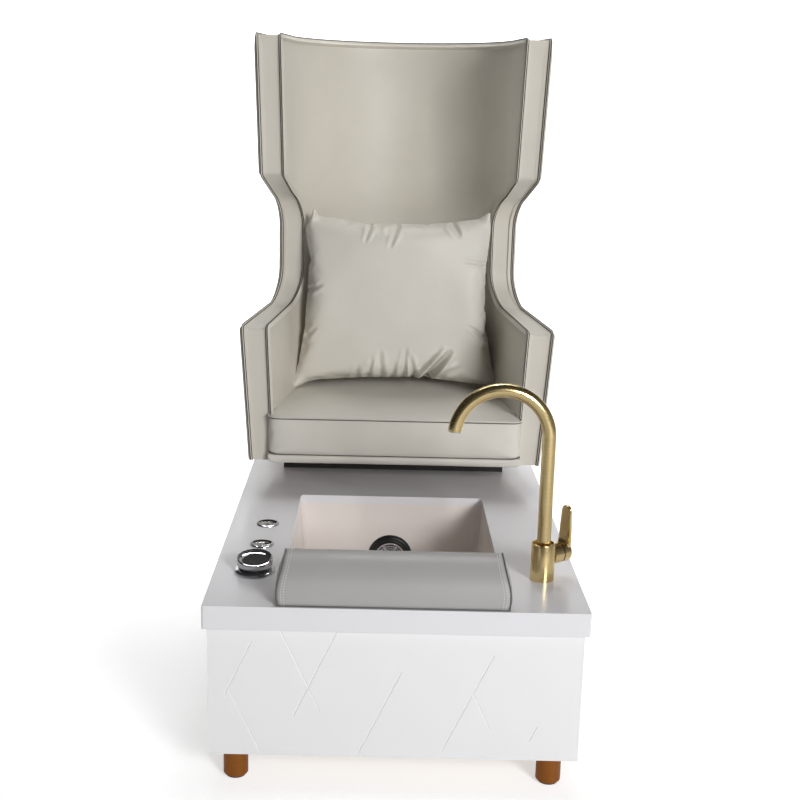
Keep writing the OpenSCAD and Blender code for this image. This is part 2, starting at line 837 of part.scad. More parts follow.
module jet_body() {
  seat_z = -jet_ring_t - jet_cover_proud + jet_cover_t;
  end_z = jet_neck_l - jet_end_t;
  pin_z = seat_z + jet_pin_gap;
  pin_r = impeller_pin_d / 2;
  chamber_r = jet_cover_d / 2 - jet_chamber_lip;
  mouth_r = jet_cover_d / 2 + seat_fit;
  bead_r = mouth_r + jet_bead_w;
  ring_r = jet_ring_d / 2;
  neck_r = jet_neck_d / 2;
  color("black") at_jet() rotate_extrude()
    polygon([[0, pin_z], [pin_r, pin_z], [pin_r, end_z], [chamber_r, end_z], [chamber_r, seat_z],
             [mouth_r, seat_z], [mouth_r, -jet_ring_t], [bead_r, -jet_ring_t],
             [bead_r, jet_groove_d - jet_ring_t], [bead_r + jet_groove_w, jet_groove_d - jet_ring_t],
             [bead_r + jet_groove_w, -jet_ring_t], [ring_r - jet_bevel_w, -jet_ring_t],
             [ring_r, -jet_rim_t], [ring_r, 0], [neck_r, 0], [neck_r, jet_neck_l], [0, jet_neck_l]]);
}

module jet_nut() {
  color("black") at_jet() translate([0, 0, tub_t]) difference() {
    cylinder(d = jet_neck_d + 2 * jet_nut_w, h = jet_nut_h);
    translate([0, 0, -1]) cylinder(d = jet_neck_d + 2 * seat_fit, h = jet_nut_h + 2);
    for (a = [0 : 30 : 330]) rotate(a) translate([jet_neck_d / 2 + jet_nut_w, 0, -1])
      cylinder(d = jet_notch_d, h = jet_nut_h + 2, $fn = 16);
  }
}

// Rings of arc slots, broken by the ribs.
module jet_slots() {
  difference() {
    for (i = [0 : jet_slot_rings - 1]) rotate_extrude()
      translate([jet_boss_d / 2 + jet_slot_gap + i * jet_slot_pitch, -1])
        square([jet_slot_w, jet_cover_t + 2]);
    for (i = [0 : jet_ribs - 1]) rotate(i * 360 / jet_ribs)
      translate([0, -jet_rib_w / 2, -2]) cube([jet_cover_d, jet_rib_w, jet_cover_t + 4]);
  }
}

module jet_cover() {
  hollow_d = jet_cover_d - 2 * jet_cover_wall;
  color("silver") at_jet() translate([0, 0, -jet_ring_t - jet_cover_proud]) difference() {
    union() {
      cylinder(d = jet_cover_d, h = jet_cover_t);
      translate([0, 0, -jet_boss_h])
        cylinder(d1 = jet_boss_d - 3 * jet_boss_h, d2 = jet_boss_d, h = jet_boss_h + eps);
    }
    jet_slots();
    translate([0, 0, jet_face_t]) cylinder(d = hollow_d, h = jet_cover_t);
  }
}

module jet_impeller() {
  hub_z = -jet_ring_t - jet_cover_proud + jet_cover_t + 2 * jet_pin_gap;
  hub_h = jet_neck_l - jet_end_t - hub_z - jet_pin_gap;
  color("gray") at_jet() translate([0, 0, hub_z]) difference() {
    union() {
      cylinder(d = impeller_hub_d, h = hub_h);
      for (i = [0 : impeller_blades - 1]) rotate(i * 360 / impeller_blades)
        translate([0, -blade_t / 2, hub_h / 3]) cube([impeller_d / 2, blade_t, hub_h * 2 / 3]);
      translate([0, 0, hub_h - blade_t]) cylinder(d = impeller_d, h = blade_t);
    }
    translate([0, 0, -1]) cylinder(d = impeller_pin_d + 2 * run_fit, h = hub_h + 2);
  }
}

module jet_motor() {
  case_d = motor_d - 2 * motor_step;
  end_l = motor_l / 5;
  color("slategray") at_jet() translate([0, 0, jet_neck_l]) {
    cylinder(d = motor_d, h = end_l);
    translate([0, 0, end_l]) cylinder(d = case_d, h = motor_l - 2 * end_l);
    translate([0, 0, motor_l - end_l]) cylinder(d1 = case_d, d2 = motor_d - 2 * motor_end, h = end_l);
    for (a = [0 : 30 : 330]) rotate(a) translate([case_d / 2 - 1, -motor_fin_w / 2, end_l - eps])
      cube([motor_fin_h, motor_fin_w, motor_l - 2 * end_l]);
  }
}

// ---------- services ----------

module control_box() {
  lid_h = control_box_h / 5;
  color("darkgray") translate([gland_x, worktop_l / 2 - control_box_set, board_z]) {
    round_plate(control_box_w - 2 * box_lip, control_box_l, control_box_h - lid_h, box_r);
    translate([0, -box_lip, control_box_h - lid_h])
      round_plate(control_box_w, control_box_l + 2 * box_lip, lid_h, box_r);
    for (x = [-1, 0, 1]) translate([x * control_box_w / 4, 0, control_box_h / 3]) along_y()
      translate([0, 0, -box_gland_l]) cylinder(d = gland_d, h = box_gland_l + eps);
  }
}

module power_gland() {
  color("black") translate([gland_x, carcass_back, gland_z]) along_y() difference() {
    union() {
      translate([0, 0, -gland_collar]) cylinder(d = gland_d + gland_flange, h = gland_collar, $fn = 6);
      translate([0, 0, -gland_collar]) cylinder(d = gland_d, h = panel_t + 2 * gland_collar);
      translate([0, 0, panel_t]) cylinder(d = gland_d + gland_flange, h = gland_collar, $fn = 6);
    }
    translate([0, 0, -gland_collar - 1]) cylinder(d = gland_bore, h = panel_t + 2 * gland_collar + 2);
  }
}

// ---------- buttons and drain knob, made with z = 0 at the worktop's face ----------

module at_control(y) {
  translate([control_x, front_y + y, worktop_z]) children();
}

module button_bezel() {
  difference() {
    union() {
      cylinder(d1 = bezel_d, d2 = bezel_d - bezel_t, h = bezel_t);
      translate([0, 0, -neck_l]) cylinder(d = neck_d, h = neck_l);
      translate([0, 0, -neck_l - nipple_l]) cylinder(d = nipple_d, h = nipple_l + 1);
    }
    translate([0, 0, -neck_l + neck_floor]) cylinder(d = cap_d + 2 * run_fit, h = neck_l + bezel_t);
    translate([0, 0, bezel_t - cap_dish])
      cylinder(d1 = cap_d + 2 * run_fit, d2 = bezel_d - 2 * bezel_t, h = cap_dish + eps);
    translate([0, 0, -neck_l - nipple_l - 1]) cylinder(d = nipple_d / 2, h = nipple_l + neck_floor + 2);
  }
}

module button_bezels() {
  color("silver") for (y = [button_front_y, button_rear_y]) at_control(y) button_bezel();
}

module button_cap() {
  dish_r = (pow(cap_d / 2 - cap_rim, 2) + pow(cap_dish, 2)) / (2 * cap_dish);
  color("lightgray") difference() {
    translate([0, 0, -cap_h]) cylinder(d = cap_d, h = cap_h);
    translate([0, 0, dish_r - cap_dish]) sphere(dish_r, $fn = 128);
  }
}

// Rubber bellows that returns a cap and sends the puff of air.
module button_bellows() {
  low = -neck_l + neck_floor;
  pitch = (-cap_h - low) / bellows_n;
  color("black") for (i = [0 : bellows_n - 1]) translate([0, 0, low + i * pitch]) {
    cylinder(r1 = cap_d / 2 - bellows_in, r2 = cap_d / 2 - bellows_out, h = pitch / 2);
    translate([0, 0, pitch / 2])
      cylinder(r1 = cap_d / 2 - bellows_out, r2 = cap_d / 2 - bellows_in, h = pitch / 2);
  }
}

module neck_nuts() {
  color("dimgray") for (y = [knob_y, button_front_y, button_rear_y]) at_control(y)
    translate([0, 0, -sheet_t - neck_nut_h]) difference() {
      cylinder(d = neck_d + 2 * nut_w, h = neck_nut_h, $fn = 8);
      translate([0, 0, -1]) cylinder(d = neck_d + 2 * seat_fit, h = neck_nut_h + 2);
    }
}

module knob_flange() {
  color("silver") at_control(knob_y) difference() {
    union() {
      cylinder(d1 = knob_flange_d, d2 = knob_flange_d - 2 * flange_bevel, h = knob_flange_t);
      translate([0, 0, -neck_l]) cylinder(d = neck_d, h = neck_l);
    }
    translate([0, 0, -neck_l - 1]) cylinder(d = spindle_d + 2 * run_fit, h = neck_l + knob_flange_t + 2);
  }
}

module drain_knob() {
  low = knob_flange_t + seat_fit;
  dish_d = knob_d - 2 * knob_rim;
  dish_r = (pow(dish_d / 2, 2) + pow(knob_dish, 2)) / (2 * knob_dish);
  color("silver") at_control(knob_y) {
    difference() {
      rotate_extrude() polygon([[0, low], [knob_d / 2 - knob_waist, low], [knob_d / 2, low + knob_h / 3],
                                [knob_d / 2, low + knob_h], [0, low + knob_h]]);
      translate([0, knob_d / 2, low + knob_h]) rotate([knob_slope, 0, 0])
        translate([-knob_d, -2 * knob_d, 0]) cube([2 * knob_d, 3 * knob_d, knob_h]);
      translate([0, knob_d / 2, low + knob_h]) rotate([knob_slope, 0, 0])
        translate([0, -knob_d / 2 / cos(knob_slope), dish_r - knob_dish]) sphere(dish_r, $fn = 128);
    }
    translate([0, 0, drum_z - worktop_z]) cylinder(d = spindle_d, h = worktop_z - drum_z + low + 1);
  }
}

module knob_drum() {
  color("dimgray") translate([control_x, front_y + knob_y, drum_z]) difference() {
    cylinder(d = drum_d, h = drum_h);
    translate([0, 0, -1]) cylinder(d = spindle_d, h = drum_h + 2);
    translate([0, 0, drum_h / 2]) rotate_extrude() translate([drum_d / 2, 0]) circle(d = drum_h / 3);
  }
}

// ---------- tap, made with z = 0 at the worktop's face ----------

module at_tap() {
  translate([tap_x, front_y + tap_y, worktop_z]) children();
}

// Frame of the side neck: +X runs out along its axis, z = 0 is the axis.
module at_side_neck() {
  at_tap() translate([0, 0, side_neck_z]) rotate(side_neck_turn) children();
}

module tap_body() {
  r = tap_body_d / 2;
  rim_r = r - tap_rim;
  color("goldenrod") difference() {
    union() {
      at_tap() rotate_extrude()
        polygon([[0, -shank_l], [shank_d / 2, -shank_l], [shank_d / 2, 0], [r, 0],
                 [r, tap_body_h - tap_collar], [r - tap_collar, tap_body_h], [rim_r, tap_body_h],
                 [rim_r, tap_body_h - tap_recess], [0, tap_body_h - tap_recess]]);
      at_side_neck() along_x() cylinder(d = side_neck_d, h = side_neck_l);
    }
    at_tap() translate([0, 0, tap_body_h - spout_seat]) cylinder(d = spout_d + 2 * run_fit, h = spout_seat);
    at_side_neck() translate([cartridge_x - seat_fit, 0, 0]) along_x()
      cylinder(d = cartridge_d + 2 * seat_fit, h = side_neck_l);
    at_side_neck() translate([side_neck_l - cup_depth, 0, 0]) along_x()
      cylinder(d = side_neck_d - 2 * cup_wall, h = cup_depth + 1);
  }
}

module tap_spout() {
  foot_z = tap_body_h - spout_seat + seat_fit;
  bow_r = spout_reach / 2;
  bow_z = spout_h - spout_d / 2 - bow_r;
  bore_d = spout_d - 2 * spout_wall;
  color("goldenrod") at_tap() {
    translate([0, 0, foot_z]) difference() {
      cylinder(d = spout_d, h = bow_z - foot_z);
      translate([0, 0, -1]) cylinder(d = bore_d, h = bow_z - foot_z + 2);
    }
    translate([-bow_r, 0, bow_z]) rotate([90, 0, 0]) rotate_extrude(angle = spout_bow)
      translate([bow_r, 0]) difference() {
        circle(d = spout_d);
        circle(d = bore_d);
      }
  }
}

module tap_aerator() {
  bow_r = spout_reach / 2;
  bow_z = spout_h - spout_d / 2 - bow_r;
  inner_d = spout_d - 2 * spout_wall - 2 * seat_fit;
  color("silver") at_tap() translate([-bow_r, 0, bow_z]) rotate([0, -spout_bow, 0])
    translate([bow_r, 0, 0]) difference() {
      union() {
        translate([0, 0, -aerator_l]) cylinder(d = inner_d - 1, h = aerator_l);
        cylinder(d = spout_d - 1, h = aerator_lip);
      }
      for (x = [-1, 0, 1], y = [-1, 0, 1]) translate([x * inner_d / 4, y * inner_d / 4, -aerator_l - 1])
        cylinder(d = inner_d / 7, h = aerator_l + 3, $fn = 16);
    }
}

module tap_cartridge() {
  color("lightgray") at_side_neck() difference() {
    translate([cartridge_x, 0, 0]) along_x() cylinder(d = cartridge_d, h = cartridge_l);
    translate([cartridge_x + cartridge_l / 3, 0, 0]) along_x() cylinder(d = stem_d + 2 * run_fit, h = cartridge_l);
  }
}

// Stem: its round end lets the lever tilt over it.
module mixer_stem() {
  start = cartridge_x + cartridge_l / 3 + seat_fit;
  color("dimgray") at_side_neck() difference() {
    union() {
      translate([start, 0, 0]) along_x() cylinder(d = stem_d, h = pivot_x - start);
      translate([pivot_x, 0, 0]) sphere(d = stem_d);
    }
    translate([pivot_x, 0, 0]) rotate([90, 0, 0])
      translate([0, 0, -stem_d]) cylinder(d = pivot_pin_d + 2 * run_fit, h = 2 * stem_d);
  }
}

// Lever: hub that tilts on a cross pin over the stem, with an upright tapered blade.
module mixer_lever() {
  hub_x = side_neck_l + hub_gap;
  hub_end = hub_x + lever_hub_l;
  blade_x = hub_end - lever_t;
  blade_h = lever_tip_z - side_neck_z;
  room = stem_d / 2 + (pivot_x - hub_x) * sin(lever_tilt_max) + hub_play;
  slot_w = stem_d + 2 * hub_play;
  color("goldenrod") at_side_neck() {
    difference() {
      union() {
        translate([hub_x, 0, 0]) along_x() cylinder(d = side_neck_d, h = lever_hub_l - hub_round);
        translate([hub_end - hub_round, 0, 0]) along_x()
          cylinder(d1 = side_neck_d, d2 = side_neck_d - 2 * hub_round, h = hub_round);
        translate([blade_x, 0, 0]) rotate([90, 0, 90]) linear_extrude(lever_t - 1) {
          polygon([[-lever_root_w / 2, 0], [lever_root_w / 2, 0],
                   [lever_root_w / 2, side_neck_d / 2], [lever_tip_w / 2, blade_h - lever_tip_w / 2],
                   [-lever_tip_w / 2, blade_h - lever_tip_w / 2], [-lever_root_w / 2, side_neck_d / 2]]);
          translate([0, blade_h - lever_tip_w / 2]) circle(d = lever_tip_w);
        }
      }
      translate([hub_x - 1, -slot_w / 2, -room])
        cube([pivot_x + stem_d / 2 + hub_play + 1 - hub_x, slot_w, 2 * room]);
    }
    translate([pivot_x, 0, 0]) rotate([90, 0, 0]) translate([0, 0, -stem_d / 2 - pin_grip])
      cylinder(d = pivot_pin_d, h = stem_d + 2 * pin_grip);
  }
}

module tap_nut() {
  color("dimgray") at_tap() translate([0, 0, -sheet_t - neck_nut_h]) difference() {
    cylinder(d = shank_d + 2 * nut_w, h = neck_nut_h, $fn = 6);
    translate([0, 0, -1]) cylinder(d = shank_d + 2 * seat_fit, h = neck_nut_h + 2);
  }
}

module at_inlets() {
  for (x = [-inlet_gap / 2, inlet_gap / 2]) translate([tap_x + x, front_y + tap_y, 0]) children();
}

// Two hoses that spread from the tap's shank to the inlets, with a ferrule at each end.
module supply_hoses() {
  low = board_z + inlet_top;
  high = worktop_z - shank_l;
  run = high - low - 2 * ferrule_l + 2 * hose_grip;
  spread = (inlet_gap - hose_gap) / 2;
  color("gray") for (side = [-1, 1]) translate([tap_x, front_y + tap_y, 0]) {
    translate([side * inlet_gap / 2, 0, low]) cylinder(d = ferrule_d, h = ferrule_l);
    translate([side * inlet_gap / 2, 0, low + ferrule_l - hose_grip]) rotate([0, -side * atan2(spread, run), 0])
      cylinder(d = hose_d, h = norm([spread, run]));
    translate([side * hose_gap / 2, 0, high - ferrule_l]) cylinder(d = ferrule_d, h = ferrule_l);
  }
}

module supply_inlets() {
  color("peru") difference() {
    union() {
      at_inlets() translate([0, 0, inlet_z]) cylinder(d = inlet_d, h = panel_z - inlet_z);
      at_inlets() translate([0, 0, panel_z]) cylinder(d = inlet_body_d, h = panel_t + inlet_top);
      translate([tap_x - inlet_plate_w / 2, front_y + tap_y - inlet_plate_l / 2, board_z])
        cube([inlet_plate_w, inlet_plate_l, inlet_plate_t]);
    }
    at_inlets() translate([0, 0, inlet_z - 1]) cylinder(d = inlet_bore, h = board_z + inlet_top - inlet_z + 2);
  }
}

// ---------- footrest ----------

module footrest_board() {
  color("burlywood") difference() {
    box(tub_x - footrest_w / 2 + footrest_set, front_y + footrest_front + footrest_set, worktop_z,
        footrest_w - 2 * footrest_set, footrest_l - 2 * footrest_set, footrest_board_t);
    footrest_screw_shanks();
  }
}

module footrest_pad() {
  r = footrest_l / 2;
  low = footrest_board_t + seat_fit;
  color("darkgray") translate([tub_x, front_y + footrest_mid, worktop_z]) rotate([90, 0, 90])
    linear_extrude(footrest_w, center = true) difference() {
      union() {
        translate([-r, low]) square([2 * r, footrest_h - r - low]);
        translate([0, footrest_h - r]) circle(r);
      }
      translate([-r - 1, low - 2 * r]) square([2 * r + 2, 2 * r]);
    }
}

// ---------- chair ----------

// Points of an arc about c from angle a to angle b, both ends included.
function arc(c, r, a, b, n) = [for (i = [0 : n]) c + r * [cos(a + (b - a) * i / n), sin(a + (b - a) * i / n)]];

// Right-to-left path of the barrel in plan: straight sides from a front of half-width hw at
// y = fy that run tangent into a round back of radius r.
function barrel_path(hw, fy, r) =
  let (reach = barrel_cy - fy, turn = atan2(reach, -hw) - asin(r / norm([hw, reach])) - 90)
  concat([[hw, fy]], arc([0, barrel_cy], r, turn, 180 - turn, barrel_n), [[-hw, fy]]);

module barrel_plan(hw, fy, r) {
  polygon(barrel_path(hw, fy, r));
}

// Angle of a vector, and a fillet of radius r at corner v between its neighbours a and b.
function unit(p) = p / norm(p);
function angle_of(p) = atan2(p[1], p[0]);
function fillet(a, v, b, r) =
  let (half = acos(unit(a - v) * unit(b - v)) / 2,
       c = v + unit(unit(a - v) + unit(b - v)) * r / sin(half),
       from = angle_of(v + unit(a - v) * r / tan(half) - c))
  arc(c, r, from, from + 180 - 2 * half, fillet_n);

// Notch between arm and wing in the Y-Z plane, grown by i.
module notch(i) {
  out_y = arm_y - chair_w / 4;
  front = [out_y, arm_z - i];
  low = [waist_y + i, arm_z + arm_rise - i];
  high = [waist_y + i, waist_z + i / 3];
  wing = [arm_y + wing_back + i, wing_z + i];
  top = [arm_y + wing_back - wing_lean + i, chair_top + 1];
  polygon(concat([front], fillet(front, low, high, waist_r + i), fillet(low, high, wing, waist_r + i),
                 [wing, top, [out_y, chair_top + 1]]));
}

// Side view of the shell, its free edges drawn in by i, swept across the chair.
module side_block(i) {
  rotate([90, 0, 90]) linear_extrude(chair_w + 2, center = true) difference() {
    translate([arm_y + i, chair_z]) square([arm_reach + barrel_r, chair_top - i - chair_z]);
    notch(i);
  }
}

// Barrel of a plan: upright above the height of the arms, leaning in below it.
module barrel(path) {
  drop = arm_z - chair_z + 1;
  lean = 1 - arm_taper / half_w * drop / (drop - 1);
  translate([0, 0, arm_z]) {
    linear_extrude(chair_top - arm_z + 1) polygon(path);
    mirror([0, 0, 1]) linear_extrude(drop, scale = [lean, 1], slices = 1) polygon(path);
  }
}

// Path of the barrel at a depth below its outer face.
function layer(depth) = barrel_path(half_w - depth, arm_y, barrel_r - depth);

// Wall of the barrel between two depths.
module barrel_wall(depth, inner_depth) {
  difference() {
    barrel(layer(depth));
    barrel(layer(inner_depth));
  }
}

// Upright hollow of the chair, open to the front.
module chair_hollow() {
  ahead = arm_y - border_t;
  translate([0, 0, chair_z - 1]) linear_extrude(chair_top - chair_z + 3)
    polygon(concat([[inner_hw, ahead]], barrel_path(inner_hw, arm_y, inner_r), [[-inner_hw, ahead]]));
}

module shell_frame() {
  color("burlywood") intersection() {
    barrel_wall(cover_t, cover_t + frame_t);
    side_block(border_t);
  }
}

module shell_cover() {
  color("tan") intersection() {
    barrel_wall(0, cover_t);
    side_block(border_t);
  }
}

module shell_lining() {
  color("tan") difference() {
    intersection() {
      barrel(layer(cover_t + frame_t));
      side_block(border_t);
    }
    chair_hollow();
  }
}

module shell_border() {
  color("tan") difference() {
    intersection() {
      barrel(layer(0));
      side_block(0);
    }
    side_block(border_t);
    chair_hollow();
  }
}

module chair_riser() {
  color("saddlebrown") difference() {
    box(-riser_w / 2, riser_y, worktop_z, riser_w, riser_l, chair_gap);
    box(-riser_w / 2 + riser_t, riser_y + riser_t, worktop_z - 1,
        riser_w - 2 * riser_t, riser_l - 2 * riser_t, chair_gap + 2);
    riser_bolt_shanks();
  }
}

module at_riser_bolts() {
  for (x = [-1, 1], y = riser_board_ys) translate([x * (riser_w / 2 - bolt_side), y, sheet_z - bearer_h]) children();
}

module riser_bolt_shanks() {
  at_riser_bolts() cylinder(d = M8, h = bearer_h + sheet_t + bolt_reach);
}

module riser_bolts() {
  color("silver") {
    riser_bolt_shanks();
    at_riser_bolts() translate([0, 0, -bolt_head_h]) cylinder(d = bolt_head_d, h = bolt_head_h, $fn = 6);
  }
}

module seat_frame() {
  hw = inner_hw - seat_fit;
  r = inner_r - seat_fit;
  color("burlywood") translate([0, 0, chair_z]) linear_extrude(seat_frame_t) difference() {
    intersection() {
      barrel_plan(hw, arm_y, r);
      translate([-hw, rail_back]) square([2 * hw, 2 * barrel_r]);
    }
    intersection() {
      barrel_plan(hw - seat_frame_w, arm_y, r - seat_frame_w);
      translate([-hw, rail_back + seat_frame_w]) square([2 * hw, 2 * barrel_r]);
    }
  }
}

// Elastic webbing: lengthwise straps tacked on the frame, cross straps over them.
module seat_webbing() {
  y0 = rail_back + seat_frame_w / 3;
  inner = inner_r - seat_frame_w / 3;
  z0 = chair_z + seat_frame_t;
  color("black") {
    for (i = [0 : straps_long - 1]) {
      x = (i - (straps_long - 1) / 2) * strap_pitch_x;
      y1 = barrel_cy + sqrt(pow(inner, 2) - pow(abs(x) + strap_w / 2, 2));
      box(x - strap_w / 2, y0, z0, strap_w, y1 - y0, strap_t);
    }
    for (i = [0 : straps_cross - 1]) {
      y = y0 + (i + 1) * strap_pitch_y;
      side = barrel_path(inner_hw, arm_y, inner_r);
      reach = inner_hw + (side[1][0] - inner_hw) * (y - arm_y) / (side[1][1] - arm_y) - seat_frame_w / 3;
      box(-reach, y - strap_w / 2, z0 + strap_t, 2 * reach, strap_w, strap_t);
    }
  }
}

module seat_rail() {
  w = cushion_w - 2 * rail_side_gap;
  h = cushion_low - seat_fit - chair_z;
  color("tan") translate([0, rail_back, chair_z]) rotate([90, 0, 0]) linear_extrude(rail_d) {
    translate([-w / 2 + rail_r, 0]) square([w - 2 * rail_r, h]);
    translate([-w / 2, rail_r]) square([w, h - rail_r]);
    for (x = [-w / 2 + rail_r, w / 2 - rail_r]) translate([x, rail_r]) circle(rail_r);
  }
}

module seat_cushion() {
  color("tan") translate([0, 0, cushion_low]) linear_extrude(cushion_h)
    barrel_plan(cushion_w / 2, cushion_y, inner_r - cushion_back_gap);
}

// Long bolster with a lens section: length l along +X, height h, thickness t in the middle
// and edge_t at its long edges.
module lens(l, h, t, edge_t) {
  bulge = (t - edge_t) / 2;
  r = (pow(h / 2, 2) + pow(bulge, 2)) / (2 * bulge);
  intersection_for(y = [-1, 1]) translate([-l / 2, y * (r - t / 2), 0]) along_x() cylinder(r = r, h = l, $fn = 192);
}

module pillow() {
  color("tan") translate([0, arm_y + pillow_set, cushion_top + seat_fit]) rotate([-pillow_lean, 0, 0])
    translate([0, 0, pillow_h / 2 + pillow_edge_t / 2 * sin(pillow_lean)]) intersection() {
      lens(2 * pillow_w, pillow_h, pillow_t, pillow_edge_t);
      rotate([0, 90, 0]) lens(2 * pillow_h, pillow_w, pillow_t, pillow_edge_t);
      cube([pillow_w, pillow_t + 2, pillow_h], center = true);
    }
}

// ---------- nodes ----------

worktop();
front_panel();
side_panel(-1);  // side_panel_left
side_panel(1);  // side_panel_right
rear_panel();
access_cover();
panel_screws();
base_board();
corner_posts();
chair_bearers();
leg_at(-1, -1);  // leg_front_left
leg_at(1, -1);  // leg_front_right
leg_at(-1, 1);  // leg_rear_left
leg_at(1, 1);  // leg_rear_right
leg_plates();
leg_glides();
tub();
drain_body();
drain_nut();
drain_plug();
waste_pipe();
jet_body();
jet_nut();
jet_cover();
jet_impeller();
jet_motor();
control_box();
power_gland();
button_bezels();
at_control(button_front_y) button_cap();  // button_cap_front
at_control(button_rear_y) button_cap();  // button_cap_rear
at_control(button_front_y) button_bellows();  // button_bellows_front
at_control(button_rear_y) button_bellows();  // button_bellows_rear
neck_nuts();
knob_flange();
drain_knob();
knob_drum();
drain_cable();
tap_body();
tap_spout();
tap_aerator();
tap_cartridge();
mixer_stem();
mixer_lever();
tap_nut();
supply_hoses();
supply_inlets();
footrest_board();
footrest_pad();
chair_riser();
riser_bolts();
seat_frame();
seat_webbing();
seat_rail();
seat_cushion();
shell_frame();
shell_cover();
shell_lining();
shell_border();
pillow();
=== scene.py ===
"""Looks of a pedicure spa chair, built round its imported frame.

A barrel-backed wing chair in greige faux leather stands on a long white plinth that holds a
foot tub, a swivel-spout tap, a footrest, two push buttons and a drain knob. Lengths in the
dataclasses are millimetres in the frame's own axes: +X is the tap's side, -Y the front, +Z up.
"""

import json
import logging
import math
import random
from dataclasses import dataclass
from enum import Enum
from typing import Callable, Iterable, Sequence

import bmesh
import bpy
from mathutils import Matrix, Vector


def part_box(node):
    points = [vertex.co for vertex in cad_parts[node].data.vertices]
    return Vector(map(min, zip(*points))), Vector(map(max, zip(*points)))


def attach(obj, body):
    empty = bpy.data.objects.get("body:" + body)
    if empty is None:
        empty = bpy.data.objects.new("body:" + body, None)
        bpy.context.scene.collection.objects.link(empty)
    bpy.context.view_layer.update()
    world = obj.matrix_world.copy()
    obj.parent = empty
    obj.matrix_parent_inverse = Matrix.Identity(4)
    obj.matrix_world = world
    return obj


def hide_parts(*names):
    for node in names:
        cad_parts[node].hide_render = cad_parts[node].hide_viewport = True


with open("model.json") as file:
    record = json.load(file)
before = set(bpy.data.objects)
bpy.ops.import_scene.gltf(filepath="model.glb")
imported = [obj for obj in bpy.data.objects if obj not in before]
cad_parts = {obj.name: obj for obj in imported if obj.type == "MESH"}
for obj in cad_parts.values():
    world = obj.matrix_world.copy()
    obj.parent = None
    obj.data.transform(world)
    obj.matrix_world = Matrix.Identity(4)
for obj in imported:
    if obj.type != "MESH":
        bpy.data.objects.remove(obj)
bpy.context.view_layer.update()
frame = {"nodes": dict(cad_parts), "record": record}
LOG = logging.getLogger("pedicure_chair")
SEED = 7
FRAME_PX = 800  # the side of the picture that the camera is fitted to

# Lengths and angles that several pieces share.
MM = 0.001  # metres
UNIT = 1000.0  # mm: the size of a pattern that its mapping has scaled
MERGE = 0.00001  # m: vertices closer than this become one
TINY = 0.0001  # mm: least height that a slope is taken over
FREE = 999.0  # mm: distance from an edge where there is none
TURNED = 30.0  # degrees: sharpest edge that stays smooth on a turned piece

UP = Vector((0, 0, 1))
BACKWARDS = Vector((0, 1, 0))
ACROSS = Matrix.Rotation(math.pi / 2, 4, "X")
SIDEWAYS = Matrix.Rotation(math.pi / 2, 4, "Y")

Mesh = bmesh.types.BMesh
Edge = bmesh.types.BMEdge
Vert = bmesh.types.BMVert
Piece = bpy.types.Object
Tree = bpy.types.NodeTree
Node = bpy.types.Node
Socket = bpy.types.NodeSocket
Pair = tuple[float, float]
Triple = tuple[float, float, float]


class Body(Enum):
    """The moving bodies of the frame."""

    BASE = "base"
    SPOUT = "spout"
    STEM = "stem"
    LEVER = "lever"
    FRONT_BUTTON = "front_button"
    REAR_BUTTON = "rear_button"
    KNOB = "knob"
    PLUG = "plug"
    IMPELLER = "impeller"
    PILLOW = "loose_pillow"


# ---------------------------------------------------------------- mesh tools


def mm(x: float, y: float, z: float) -> Vector:
    """A point or vector given in millimetres, in metres."""
    return Vector((x, y, z)) * MM


def smoothstep(value: float) -> float:
    """Smooth rise from 0 at 0 to 1 at 1."""
    t = min(max(value, 0.0), 1.0)
    return t * t * (3 - 2 * t)


def grid(columns: int, rows: int, place: Callable[[int, int], Vector]) -> Mesh:
    """Sheet of quads.

    Args:
        columns: Faces along the first direction.
        rows: Faces along the second direction.
        place: Gives the place of vertex (i, j) in metres.

    Returns:
        A bmesh of the sheet.
    """
    bm = bmesh.new()
    bmesh.ops.create_grid(bm, x_segments=columns, y_segments=rows, size=1.0)
    low = [min(v.co[k] for v in bm.verts) for k in (0, 1)]
    high = [max(v.co[k] for v in bm.verts) for k in (0, 1)]
    for v in bm.verts:
        i = round((v.co.x - low[0]) / (high[0] - low[0]) * columns)
        j = round((v.co.y - low[1]) / (high[1] - low[1]) * rows)
        v.co = place(i, j)
    return bm


def revolve(profile: Sequence[Pair], steps: int = 64) -> Mesh:
    """Turns a profile of (radius, height) points in millimetres round the Z axis.

    Args:
        profile: Points from one end of the outline to the other.
        steps: Faces round the axis.

    Returns:
        A bmesh with its normals outwards.
    """
    bm = bmesh.new()
    verts = [bm.verts.new(mm(r, 0, h)) for r, h in profile]
    edges = [bm.edges.new(pair) for pair in zip(verts, verts[1:])]
    bmesh.ops.spin(bm, geom=verts + edges, cent=(0, 0, 0), axis=(0, 0, 1), angle=math.tau, steps=steps,
                   use_merge=True)
    bmesh.ops.remove_doubles(bm, verts=bm.verts, dist=MERGE)
    bmesh.ops.recalc_face_normals(bm, faces=bm.faces)
    return bm


def moved(bm: Mesh, matrix: Matrix) -> Mesh:
    """The same bmesh after a transform."""
    bmesh.ops.transform(bm, matrix=matrix, verts=bm.verts)
    return bm


def extruded(bm: Mesh, ring: Sequence[Edge]) -> tuple[list[Vert], list[Edge]]:
    """Extrudes a ring where it is and gives the new ring's verts and edges."""
    grown = bmesh.ops.extrude_edge_only(bm, edges=ring)["geom"]
    return [g for g in grown if isinstance(g, Vert)], [g for g in grown if isinstance(g, Edge)]


def drawn(bm: Mesh, face: Sequence[bmesh.types.BMFace], along: Vector) -> Mesh:
    """Draws faces out along a vector into a closed block."""
    grown = bmesh.ops.extrude_face_region(bm, geom=face)["geom"]
    bmesh.ops.translate(bm, vec=along, verts=[g for g in grown if isinstance(g, Vert)])
    bmesh.ops.recalc_face_normals(bm, faces=bm.faces)
    return bm


